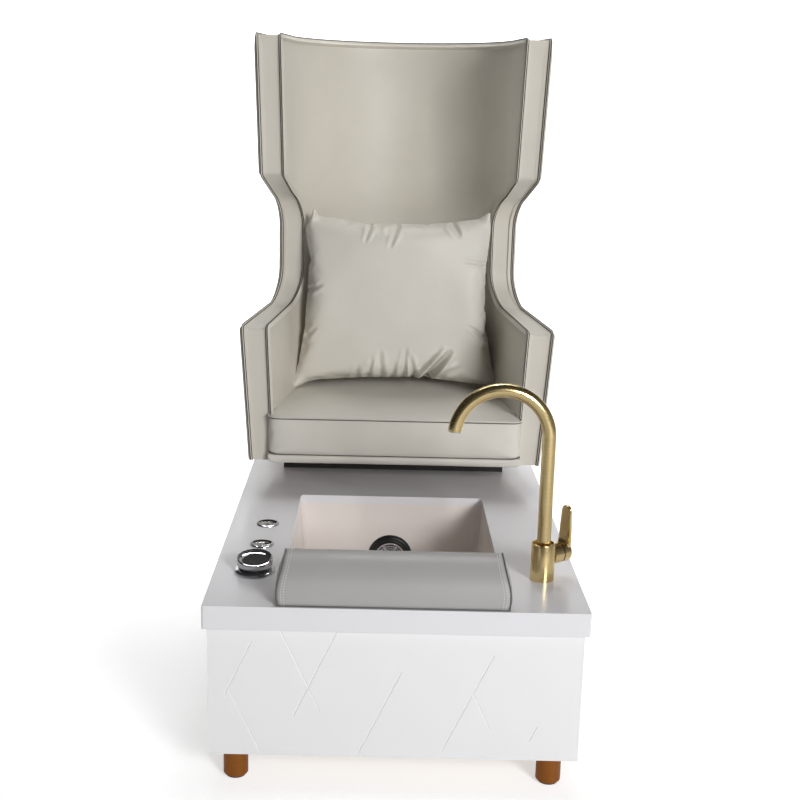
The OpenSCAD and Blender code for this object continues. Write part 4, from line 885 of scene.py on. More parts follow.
@dataclass
class Tap:
    """Brushed gold mixer with a swivelling bow spout and a side lever."""

    x: float = 300.0
    y: float = -528.0
    z: float = 388.0
    body_r: float = 24.5
    body_h: float = 78.0
    spout_r: float = 14.0
    spout_wall: float = 2.0
    spout_foot: float = 52.3
    bow_z: float = 300.0
    bow_r: float = 95.0
    bow_turn: float = 174.0
    neck_z: float = 50.0
    neck_turn: float = 36.0
    neck_r: float = 21.0
    neck_l: float = 42.0
    hub_gap: float = 2.5
    hub_l: float = 20.0
    tip_z: float = 148.0
    spout_fit: float = 0.06
    foot_gap: float = 0.15
    cup_wall: float = 1.2
    blade_sunk: float = 0.2
    squareness: float = 0.55
    crisp: float = 32.0

    def build(self) -> None:
        """Body, spout and lever."""
        self.body()
        self.spout()
        self.lever()

    def at(self) -> Matrix:
        """The tap's frame on the worktop."""
        return Matrix.Translation(mm(self.x, self.y, self.z))

    def at_neck(self) -> Matrix:
        """The side neck's frame, whose X runs out along the neck."""
        turn = Matrix.Rotation(math.radians(self.neck_turn), 4, "Z")
        return self.at() @ Matrix.Translation(mm(0, 0, self.neck_z)) @ turn

    def on_neck(self, outline: Sequence[Pair]) -> Mesh:
        """A piece turned round the side neck's axis, from (radius, distance out along the neck)."""
        return moved(revolve(outline, 72), self.at_neck() @ SIDEWAYS)

    def body(self) -> None:
        """Turned body with a sunk ring round the spout's foot, its shank and the open side neck."""
        r, h = self.body_r, self.body_h
        seat = self.spout_r + self.spout_fit
        outline = [(0.0, -60.0), (16.0, -60.0), (16.0, 0.0), (r - 0.6, 0.0), (r, 0.6), (r, h - 1.4),
                   (r - 0.4, h - 0.4), (r - 1.2, h), (r - 2.6, h), (r - 3.2, h - 0.6), (r - 3.4, h - 4.0),
                   (seat + 2.4, h - 4.4), (seat + 0.4, h - 4.4), (seat, h - 5.0), (seat, self.spout_foot),
                   (0.0, self.spout_foot)]
        column = moved(revolve(outline, 96), self.at())
        r, end = self.neck_r, self.neck_l
        cup = r - self.cup_wall
        neck = self.on_neck([(0.0, 18.0), (r, 18.0), (r, end - 0.5), (r - 0.4, end), (cup + 0.3, end),
                             (cup, end - 0.4), (cup, end - 8.0), (0.0, end - 8.0)])
        # black rubber ring in the open end of the neck: painted shade, so that the gap to the lever's hub reads as a
        # dark line
        gap_shade = self.on_neck([(14.0, end - 3.0), (cup - 0.2, end - 3.0), (cup - 0.2, end - 0.3), (14.0, end - 0.3),
                             (14.0, end - 3.0)])
        finished(link("neck_gap_shade", gap_shade), RUBBER)
        finished(link("tap_column", joined([column, neck])), GOLD, ["tap_body"], self.crisp)

    def spout(self) -> None:
        """Bent tube with a real wall and an eased outlet."""
        bm = bmesh.new()
        foot = self.spout_foot + self.foot_gap
        bmesh.ops.create_circle(bm, segments=48, radius=self.spout_r * MM, matrix=Matrix.Translation(mm(0, 0, foot)))
        ring, ends, steps = bm.edges[:], [], 6
        for _ in range(steps):
            ends, ring = extruded(bm, ring)
            bmesh.ops.translate(bm, vec=mm(0, 0, (self.bow_z - foot) / steps), verts=ends)
        bmesh.ops.spin(bm, geom=ends + ring, cent=mm(-self.bow_r, 0, self.bow_z), axis=(0, 1, 0),
                       angle=-math.radians(self.bow_turn), steps=72, use_merge=False)
        bmesh.ops.remove_doubles(bm, verts=bm.verts, dist=MERGE)
        facing(bm, Vector((0.1, 0, -1)), Vector((1, 0, 0)))
        obj = thickened(link("spout_tube", moved(bm, self.at())), self.spout_wall)
        finished(bevelled(obj, 0.4, 2, 60.0), GOLD, ["tap_spout"], self.crisp, Body.SPOUT)

    def lever(self) -> None:
        """Hub and the tapered blade that flows up from its outer end."""
        start = self.neck_l + self.hub_gap
        end, r = start + self.hub_l, self.neck_r
        hub = self.on_neck([(13.0, start + 9.0), (13.0, start), (r - 0.4, start), (r, start + 0.5), (r, end - 5.0),
                            (r - 0.5, end - 3.0), (r - 1.7, end - 1.2), (r - 3.6, end - 0.2), (r - 6.0, end),
                            (0.0, end), (0.0, start + 9.0)])
        obj = link("lever_blade", joined([hub, self.blade(end)]))
        finished(obj, GOLD, ["mixer_lever"], self.crisp, Body.LEVER)

    def blade(self, end: float) -> Mesh:
        """Blade lofted upwards from inside the hub: wide and deep at its root, thin at its tip."""
        height = self.tip_z - self.neck_z
        sections = [(0.0, 16.5, 6.5), (8.0, 16.8, 6.6), (14.0, 17.0, 6.4), (19.0, 17.0, 5.6), (23.0, 16.9, 4.9),
                    (28.0, 16.7, 4.4), (40.0, 16.2, 4.0), (55.0, 15.5, 3.8), (72.0, 14.4, 3.6), (84.0, 13.4, 3.4),
                    (height - 7.0, 12.2, 3.3), (height - 3.2, 10.0, 3.2), (height - 1.0, 6.4, 3.0),
                    (height, 1.8, 2.4)]
        bm = bmesh.new()
        bmesh.ops.create_circle(bm, segments=40, radius=1.0)
        for v in bm.verts:
            a = math.atan2(v.co.y, v.co.x)
            for axis, share in enumerate((math.cos(a), math.sin(a))):
                v.co[axis] = math.copysign(abs(share) ** self.squareness, share)
        verts, edges = bm.verts[:], bm.edges[:]
        for k, section in enumerate(sections):
            if k:
                verts, edges = extruded(bm, edges)
            self.shape_ring(verts, sections[k - 1] if k else None, section, end)
        bmesh.ops.contextual_create(bm, geom=edges)
        bmesh.ops.recalc_face_normals(bm, faces=bm.faces)
        return moved(bm, self.at_neck())

    def shape_ring(self, verts: Sequence[Vert], before: Triple | None, now: Triple, end: float) -> None:
        """Puts one ring of the blade at its section.

        Args:
            verts: The ring's vertices, still at the section before, or at the unit outline.
            before: Height, half width and half thickness of the section before, or None at the root.
            now: The same of this section.
            end: Where the hub ends along the neck, in millimetres.
        """
        z, half_w, half_t = now
        for v in verts:
            if before is None:
                x, y = v.co.x, v.co.y
            else:
                x = (v.co.x / MM - (end - before[2] - self.blade_sunk)) / before[2]
                y = v.co.y / MM / before[1]
            v.co = mm(end - half_t - self.blade_sunk + x * half_t, y * half_w, z)


# ---------------------------------------------------------------- footrest


@dataclass
class Footrest:
    """Padded roll across the front of the tub."""

    inset: float = -0.8
    overhang: float = 6.0
    sink: float = 12.0
    seam_in: float = 11.0
    drawn_in: float = 12.0
    welt_in: float = 2.6
    welt_r: float = 1.6
    foot_welt_r: float = 1.3
    row_gap: float = 5.0
    stitch: Triple = (5.4, 3.4, 0.85)
    padding: Padding = Padding(voxel=4.5, pressure=3.0, steps=16, cap=4.0)

    def build(self) -> None:
        """Pad, end welts and double stitching."""
        low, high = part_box("footrest_pad")
        board_low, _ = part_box("footrest_board")
        self.low = Vector((low.x / MM - self.overhang, low.y / MM, board_low.z / MM + 0.3))
        self.high = Vector((high.x / MM + self.overhang, high.y / MM, high.z / MM - self.sink))
        self.r = (self.high.y - self.low.y) / 2
        self.mid_y = (self.high.y + self.low.y) / 2
        self.pad()
        self.welts()
        self.rows_of_stitches()

    def profile(self, grow: float, steps: int) -> list[Pair]:
        """Outline (y, z) of the roll from its front foot over the top to its back foot.

        Args:
            grow: How far outside the pad's own face, in millimetres.
            steps: Faces over the round top.

        Returns:
            The outline's points.
        """
        r = self.r + grow
        top = self.high.z - self.r
        angles = [math.pi * k / steps for k in range(steps + 1)]
        arc = [(self.mid_y - r * math.cos(a), top + r * math.sin(a)) for a in angles]
        return [(self.mid_y - r, self.low.z), *arc, (self.mid_y + r, self.low.z)]

    def pad(self) -> None:
        """The stuffed roll."""
        outline = [mm(self.low.x + 1, y, z) for y, z in self.profile(-self.inset, 24)]
        bm = block(outline, mm(self.high.x - self.low.x - 2, 0, 0))
        obj = self.padding.remeshed(bevelled(link("footrest_cover", bm), 5.0, 3, 50.0))

        def held(co: Vector) -> float:
            """Seams run round both ends and along the board."""
            end = min(co.x / MM - self.low.x, self.high.x - co.x / MM)
            rise = co.z / MM - self.low.z
            return max(1 - abs(end - self.seam_in) / 5.0, 1.0 if rise < 8.0 else 0.0)

        self.padding.swell(obj, held)
        for v in obj.data.vertices:
            v.co.x = self.rounded(v.co.x / MM, v.co.z / MM) * MM
        finished(obj, GREY_LEATHER, ["footrest_pad"])

    def rounded(self, x: float, z: float) -> float:
        """Place along the roll after its ends are drawn in towards the top."""
        middle = (self.low.x + self.high.x) / 2
        rise = (z - self.low.z) / (self.high.z - self.low.z)
        pull = self.drawn_in * smoothstep((rise - 0.3) / 0.75) + 2.5 * smoothstep(1 - rise / 0.25)
        end = smoothstep((abs(x - middle) / (self.high.x - middle) - 0.55) / 0.45)
        return x - math.copysign(pull * end, x - middle)

    def seam_path(self, x: float, grow: float) -> list[Vector]:
        """A seam's path over the roll at a place along it."""
        return [mm(self.rounded(x, z), y, z) for y, z in self.profile(grow, 40)]

    def welts(self) -> None:
        """Thin welts round both end panels and along the front of the foot, their dark grey partly the cord's own and
        partly painted shade of the seams and of the foot's contact line.
        """
        ends = (self.low.x + self.welt_in, self.high.x - self.welt_in)
        parts = [tube(self.seam_path(x, 0.0), self.welt_r, 10) for x in ends]
        y, z = self.mid_y - self.r - 0.9, self.low.z + 1.2
        parts.append(tube([mm(x, y, z) for x in (self.low.x + 3.0, self.high.x - 3.0)], self.foot_welt_r, 10))
        finished(link("footrest_welts", joined(parts)), WELT_AND_SHADE)

    def rows_of_stitches(self) -> None:
        """Two rows of stitches beside each end seam."""
        rows = []
        for side, x in ((1, self.low.x), (-1, self.high.x)):
            for away in (self.seam_in, self.seam_in + self.row_gap):
                rows.append(stitches(self.seam_path(x + side * away, 0.9), *self.stitch))
        finished(link("footrest_stitches", joined(rows)), THREAD)


# ---------------------------------------------------------------- chair shell


def stations(length: float, count: int, close: Sequence[float] = (0.0, 2.2, 4.6, 7.6, 11.5)) -> list[float]:
    """Distances along a face from its seam, closest where the cover dips into the seam.

    Args:
        length: The face's length in millimetres.
        count: Number of steps.
        close: The first distances.

    Returns:
        count + 1 distances from 0 to the length.
    """
    rest = count + 1 - len(close)
    return [*close, *(close[-1] + (length - close[-1]) * (k + 1) / rest for k in range(rest))]


@dataclass(frozen=True)
class BarrelPlan:
    """Plan of one face of the barrel: straight sides that run tangent into a round back."""

    half_front: float
    radius: float
    front_y: float = 100.0
    axis_y: float = 335.0

    @property
    def turn(self) -> float:
        """Angle, in radians, of the point where the right side meets the round."""
        reach = self.front_y - self.axis_y
        return math.atan2(reach, self.half_front) + math.acos(self.radius / math.hypot(self.half_front, reach))

    def on_round(self, angle: float) -> Pair:
        """Point of the round back at an angle."""
        return self.radius * math.cos(angle), self.axis_y + self.radius * math.sin(angle)

    def half_width(self, y: float) -> float:
        """Half width at a depth y."""
        join_x, join_y = self.on_round(self.turn)
        if y >= join_y:
            return math.sqrt(max(self.radius**2 - (y - self.axis_y) ** 2, 0.0))
        return join_x + (self.half_front - join_x) * (join_y - y) / (join_y - self.front_y)

    def path(self, y: float, count: int) -> list[Pair]:
        """Points from the left side at depth y round the back to the right side, closest near both ends.

        Args:
            y: Depth of both ends.
            count: Number of steps.

        Returns:
            count + 1 points (x, y).
        """
        join_x, join_y = self.on_round(self.turn)
        if y < join_y:
            straight = (Vector((join_x, join_y)) - Vector((self.half_width(y), y))).length
            start = self.turn
        else:
            straight = 0.0
            start = math.asin((y - self.axis_y) / self.radius)
        bend = self.radius * (math.pi / 2 - start)
        rows = stations(straight + bend, count // 2)
        points = []
        for i in range(count + 1):
            side = -1 if i * 2 < count else 1
            s = rows[min(i, count - i)]
            if s < straight:
                depth = y + (join_y - y) * s / straight
                x = self.half_width(depth)
            else:
                x, depth = self.on_round(start + (s - straight) / self.radius)
            points.append((side * x, depth))
        return points


def angle_of(cosine: float) -> float:
    """Angle in radians of a cosine that rounding may have taken past 1."""
    return math.acos(max(-1.0, min(1.0, cosine)))


def fillet(a: Vector, corner: Vector, b: Vector, r: float, steps: int = 12) -> list[Vector]:
    """Points of a round of radius r at a corner between a and b, all in one plane."""
    to_a, to_b = (a - corner).normalized(), (b - corner).normalized()
    half = angle_of(to_a.dot(to_b)) / 2
    centre = corner + (to_a + to_b).normalized() * r / math.sin(half)
    first, last = (corner + way * r / math.tan(half) - centre for way in (to_a, to_b))
    sweep = angle_of(first.normalized().dot(last.normalized()))
    shares = [k / steps for k in range(steps + 1)]
    return [centre + (first * math.sin(sweep * (1 - share)) + last * math.sin(sweep * share)) / math.sin(sweep)
            for share in shares]


@dataclass
class ChairShell:
    """Barrel shell with arms, waist and wings: outside cover, inside lining, border and piping."""

    foot_z: float = 450.0
    top_z: float = 1490.0
    arm_y: float = 100.0
    arm_z: float = 790.0
    arm_rise: float = 18.0
    waist_y: float = 465.0
    waist_z: float = 1070.0
    waist_r: float = 95.0
    wing_y: float = 285.0
    wing_z: float = 1150.0
    wing_top_y: float = 240.0
    taper: float = 22.0
    inner_taper: float = 15.0
    tuck: float = 4.2
    tuck_reach: float = 8.0
    slack: float = 1.4
    slack_reach: float = 45.0
    face_in: float = 1.0
    weld: float = 0.4
    corner_r: float = 12.0
    outer: BarrelPlan = BarrelPlan(384.0, 340.0)
    inner: BarrelPlan = BarrelPlan(322.0, 286.0)
    cloth_t: float = 8.0
    band_t: float = 12.0
    crisp: float = 60.0
    piping_r: float = 2.6
    crown: float = 2.5
    crown_fade: float = 35.0
    # radius of the dark cords that paint the crease shade beside each seam
    seam_shadow_r: float = 1.15
    columns: int = 170
    arm_steps: int = 30
    low_rows: int = 32
    high_rows: int = 80
    edge_step: float = 7.0
    band_marks: tuple[float, ...] = (0.0, 0.03, 0.07, 0.12, 0.2, 0.35, 0.5, 0.65, 0.8, 0.88, 0.93, 0.97, 1.0)

    def build(self) -> None:
        """All the upholstered faces of the shell."""
        self.outline = self.free_edge()
        self.face("shell_outside", self.outer, -1, "shell_cover")
        self.face("shell_inside", self.inner, 1, "shell_lining")
        self.border()
        self.piping()

    def free_edge(self) -> list[Vector]:
        """The shell's free edge in the side view, from the arm's foot to the wing's top, as (y, z)."""
        foot, arm, low, high, wing, top = (Vector(point) for point in (
            (self.arm_y, self.foot_z), (self.arm_y, self.arm_z), (self.waist_y, self.arm_z + self.arm_rise),
            (self.waist_y, self.waist_z), (self.wing_y, self.wing_z), (self.wing_top_y, self.top_z)))
        return [foot, *fillet(foot, arm, low, self.corner_r, 6), *fillet(arm, low, high, self.waist_r),
                *fillet(low, high, wing, self.waist_r), *fillet(high, wing, top, self.corner_r, 4), top]

    def lean(self, z: float, inside: bool = False) -> float:
        """Share of a face's width that is left at a height, because the arms lean in towards the foot."""
        share = self.inner_taper / self.inner.half_front if inside else self.taper / self.outer.half_front
        return 1.0 - share * max(self.arm_z - z, 0.0) / (self.arm_z - self.foot_z)

    def front_at(self, z: float) -> float:
        """Depth of the free edge at a height above the arm."""
        above = [p for p in self.outline if p.y > self.arm_z + self.arm_rise / 2]
        for a, b in zip(above, above[1:]):
            if a.y <= z <= b.y:
                return a.x + (b.x - a.x) * (z - a.y) / max(b.y - a.y, TINY)
        return above[0].x if z < above[0].y else above[-1].x

    def arm_top(self, y: float) -> float:
        """Height of the arm's top at a depth."""
        return self.arm_z + self.arm_rise * (min(y, self.joint().x) - self.arm_y) / (self.waist_y - self.arm_y)

    def joint(self) -> Vector:
        """Point (y, z) where the arm's straight top starts to curve up to the waist."""
        arm, low = Vector((self.arm_y, self.arm_z)), Vector((self.waist_y, self.arm_z + self.arm_rise))
        return fillet(arm, low, Vector((self.waist_y, self.waist_z)), self.waist_r)[0]

    def face(self, name: str, plan: BarrelPlan, inward: int, node: str) -> None:
        """Outside or inside face of the shell.

        Args:
            name: The piece's name.
            plan: The face's plan.
            inward: 1 for the inside face, -1 for the outside face.
            node: The frame's node that it stands for.
        """
        join, top_z = self.joint(), self.top_z - self.face_in
        n, low_rows = self.columns, self.low_rows

        def along(points: Sequence[Pair], i: int, z: float, edge: float) -> Vector:
            """A point of a row, drawn in a little near the free edge."""
            x, y = points[i]
            pull = self.tuck * (1 - smoothstep(edge / self.tuck_reach))
            pull += self.slack * (1 - smoothstep(edge / self.slack_reach))
            away = Vector((x, y - self.outer.axis_y if y > self.outer.axis_y else 0.0, 0))
            shift = away.normalized() * pull * inward
            return mm((x + shift.x) * self.lean(z, inward > 0), y + shift.y, z)

        front = self.arm_y + self.face_in
        right = [(plan.half_width(front + s), front + s) for s in stations(join.x - front, self.arm_steps)[:-1]]
        base = [(-x, y) for x, y in right] + plan.path(join.x, n) + right[::-1]
        tops = [self.arm_top(y) - self.face_in for _, y in base]

        def lower(i: int, j: int) -> Vector:
            """Grid of the arms and the back up to the arms' tops."""
            y = base[i][1]
            drop = stations(tops[i] - self.foot_z, low_rows)[low_rows - j]
            return along(base, i, tops[i] - drop, min(drop if y < join.x else FREE, y - front))

        heights = [top_z - s for s in reversed(stations(self.top_z - join.y, self.high_rows))]
        paths = [plan.path(self.front_at(z) if j else join.x, n) for j, z in enumerate(heights)]

        def upper(i: int, j: int) -> Vector:
            """Grid of the waist, the wings and the back above the arms."""
            row = paths[j]
            near_front = abs(row[i][1] - row[0][1]) if i < n * 0.2 or i > n * 0.8 else FREE
            return along(row, i, heights[j], min(near_front, top_z - heights[j]) if j else FREE)

        bm = joined([grid(len(base) - 1, low_rows, lower), grid(n, self.high_rows, upper)])
        bmesh.ops.remove_doubles(bm, verts=bm.verts, dist=self.weld * MM)
        obj = thickened(link(name, facing(bm, BACKWARDS, -inward * BACKWARDS)), self.cloth_t, even=False)
        finished(obj, LEATHER, [node], self.crisp)

    def edge_pairs(self) -> list[tuple[Vector, Vector]]:
        """Matching points on the outer and the inner edge, from the left foot over the top to the right foot."""
        side = [p / MM for p in resampled([Vector((p.x, p.y, 0)) * MM for p in self.outline], self.edge_step)]
        left = [(mm(-self.outer.half_width(p.x) * self.lean(p.y), p.x, p.y),
                 mm(-self.inner.half_width(p.x) * self.lean(p.y, True), p.x, p.y)) for p in side]
        right = [(Vector((-o.x, o.y, o.z)), Vector((-i.x, i.y, i.z))) for o, i in reversed(left)]
        rims = (plan.path(self.wing_top_y, self.columns) for plan in (self.outer, self.inner))
        over = [(mm(*o, self.top_z), mm(*i, self.top_z)) for o, i in zip(*rims)]
        return left[:-1] + over + right[1:]

    def edge_frame(self, pairs: Sequence[tuple[Vector, Vector]], i: int) -> tuple[Vector, Vector]:
        """Unit vectors across the band from its outer to its inner edge, and out of it."""
        before, after = pairs[max(i - 1, 0)], pairs[min(i + 1, len(pairs) - 1)]
        across = (pairs[i][1] - pairs[i][0]).normalized()
        run = (after[0] + after[1] - before[0] - before[1]).normalized()
        return across, run.cross(across)

    def border(self) -> None:
        """The band along the free edge, gently crowned between its two pipings."""
        pairs = self.edge_pairs()

        def place(i: int, j: int) -> Vector:
            """A point of the band."""
            outer, inner = pairs[i]
            _, out = self.edge_frame(pairs, i)
            t = self.band_marks[j]
            corner = math.hypot(outer.y / MM - self.wing_top_y, outer.z / MM - self.top_z)
            crown = self.crown * smoothstep(corner / self.crown_fade)
            dip = self.tuck * (1 - smoothstep(min(t, 1 - t) * (outer - inner).length / MM / 7.0))
            return outer.lerp(inner, t) + out * (crown * (1 - (2 * t - 1) ** 4) - dip) * MM

        bm = facing(grid(len(pairs) - 1, len(self.band_marks) - 1, place), -BACKWARDS, -BACKWARDS)
        obj = thickened(link("shell_edge_band", bm), self.band_t, even=False)
        finished(obj, LEATHER, ["shell_border"], self.crisp)

    def piping(self) -> None:
        """Piping along the band's outer and inner seam, with thin dark cords beside each seam as painted shade of its
        crease.
        """
        pairs = self.edge_pairs()
        parts = [tube([pair[k] for pair in pairs], self.piping_r, 10) for k in (0, 1)]
        frames = [self.edge_frame(pairs, i) for i in range(len(pairs))]
        # dark cords just beside each piping: painted shade of the seam's crease
        seam_shadows = []
        for k, way in ((0, 1), (1, -1)):
            for over, down in ((self.piping_r + 0.9, 1.6), (-0.6, self.piping_r + 1.9)):
                path = [pair[k] + (across * way * over - out * down) * MM
                        for pair, (across, out) in zip(pairs, frames)]
                seam_shadows.append(tube(path, self.seam_shadow_r, 8))
        finished(link("shell_painted_seam_shadows", joined(seam_shadows)), SEAM_SHADOW)
        finished(link("shell_piping", joined(parts)), LEATHER)


# ---------------------------------------------------------------- seat and pillow


@dataclass
class Seat:
    """Box cushion with a piped top edge over an upholstered rail."""

    half_front: float = 320.0
    front_y: float = 62.0
    back_r: float = 285.0
    axis_y: float = 335.0
    corner_r: float = 26.0
    low_z: float = 474.6
    top_z: float = 572.0
    piping_r: float = 2.4
    # radius of the dark cords that paint the crease shade beside the seams
    seam_shadow_r: float = 1.1
    half_deep: float = 280.0
    padding: Padding = Padding(voxel=6.0, pressure=4.5, steps=18, cap=14.0)
    rail_padding: Padding = Padding(voxel=4.0, pressure=3.0, steps=12, cap=3.0)

    def build(self) -> None:
        """Cushion, its piping and the rail."""
        self.plan = BarrelPlan(self.half_front, self.back_r, self.front_y, self.axis_y)
        self.cushion()
        self.rail()

    def outline(self, inset: float) -> list[Pair]:
        """The cushion's plan, anticlockwise from the front left corner."""
        back = self.plan.path(self.front_y, 90)
        corner, middle = Vector((-self.half_front, self.front_y)), Vector((0.0, self.front_y))
        left = fillet(Vector(back[6]), corner, middle, self.corner_r, 6)
        ring = [(p.x, p.y) for p in left] + [(-p.x, p.y) for p in reversed(left)]
        ring += [p for p in reversed(back) if p[1] > self.front_y + self.corner_r * 1.3]
        centre_y = (self.front_y + self.axis_y + self.back_r) / 2
        share_x, share_y = 1 - inset / self.half_front, 1 - inset / self.half_deep
        return [(x * share_x, centre_y + (y - centre_y) * share_y) for x, y in ring]

    def cushion(self) -> None:
        """The stuffed box: seams held, panels swollen."""
        bm = block([mm(x, y, self.low_z) for x, y in self.outline(1.0)], mm(0, 0, self.top_z - self.low_z))
        obj = self.padding.remeshed(bevelled(link("seat_cushion_cover", bm), 6.0, 3, 60.0))

        def held(co: Vector) -> float:
            """The underside and the top edge seam hold still."""
            z = co.z / MM
            return float(z < self.low_z + 2 or (abs(z - self.top_z) < 7.0 and self.near_rim(co)))

        self.padding.swell(obj, held)
        finished(obj, LIT_LEATHER, ["seat_cushion"])
        path = [mm(x, y, self.top_z - 1.5) for x, y in self.outline(0.0)]
        loop = resampled([*path, path[0]], 8.0)[:-1]
        piping = link("seat_piping", tube(loop, self.piping_r, 10, closed=True))
        centre = sum(loop, Vector()) / len(loop)
        # dark cords under and over the top piping and near the bottom edge: painted shade of the seams' creases
        seam_shadows = []
        under = self.top_z - self.low_z - 2.4
        for inset, drop in ((0.4, self.piping_r + 1.3), (self.piping_r + 1.2, -0.4), (2.6, under)):
            ways = [Vector((p.x - centre.x, p.y - centre.y, 0)).normalized() for p in loop]
            path = [p - way * inset * MM - mm(0, 0, drop) for p, way in zip(loop, ways)]
            seam_shadows.append(tube(path, self.seam_shadow_r, 8, closed=True))
        finished(link("seat_painted_seam_shadows", joined(seam_shadows)), SEAM_SHADOW)
        finished(piping, LEATHER)

    def near_rim(self, co: Vector) -> bool:
        """Whether a point lies within a few millimetres of the cushion's upright faces."""
        x, y, near = abs(co.x / MM), co.y / MM, 9
        if y < self.front_y + near:
            return True
        if y < self.axis_y:
            return x > self.plan.half_width(y) - near
        return math.hypot(x, y - self.axis_y) > self.back_r - near

    def rail(self) -> None:
        """Soft roll under the cushion, its lower corners round."""
        low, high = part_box("seat_rail")
        centre, size = (low + high) / 2, high - low - mm(3, 2, 1)
        size.x = 2 * (self.half_front - 1) * MM
        bm = bmesh.new()
        bmesh.ops.create_cube(bm, size=1.0, matrix=Matrix.Translation(centre) @ Matrix.Diagonal((*size, 1.0)))
        under = [e for e in bm.edges if all(v.co.z < centre.z for v in e.verts)]
        ends = [e for e in under if abs(e.verts[0].co.y - e.verts[1].co.y) > 0.01]
        bmesh.ops.bevel(bm, geom=ends, offset=0.013, segments=5, profile=0.5, affect="EDGES", material=-1)
        obj = self.rail_padding.remeshed(bevelled(link("seat_rail_cover", bm), 5.0, 3, 40.0))
        self.rail_padding.swell(obj, lambda co: 1.0 if co.z > high.z - 0.004 or co.y > high.y - 0.006 else 0.0)
        finished(obj, LIT_LEATHER, ["seat_rail"])


@dataclass(frozen=True)
class Fold:
    """A crease that runs from a seam into a stuffed cover. Places are in the cover's own plane."""

    seam: Pair
    tip: Pair
    width: float
    depth: float

    def drop(self, x: float, y: float) -> float:
        """How far the cover sinks at a point, negative where the crease's lips rise."""
        run = Vector(self.tip) - Vector(self.seam)
        reach = Vector((x, y)) - Vector(self.seam)
        t = min(max(reach.dot(run) / run.length_squared, 0.0), 1.0)
        away = (reach - run * t).length / (self.width * (1.0 - 0.4 * t))
        return self.depth * (1 - t) ** 0.8 * (math.exp(-(away**2)) - 0.4 * math.exp(-((away - 2) ** 2)))


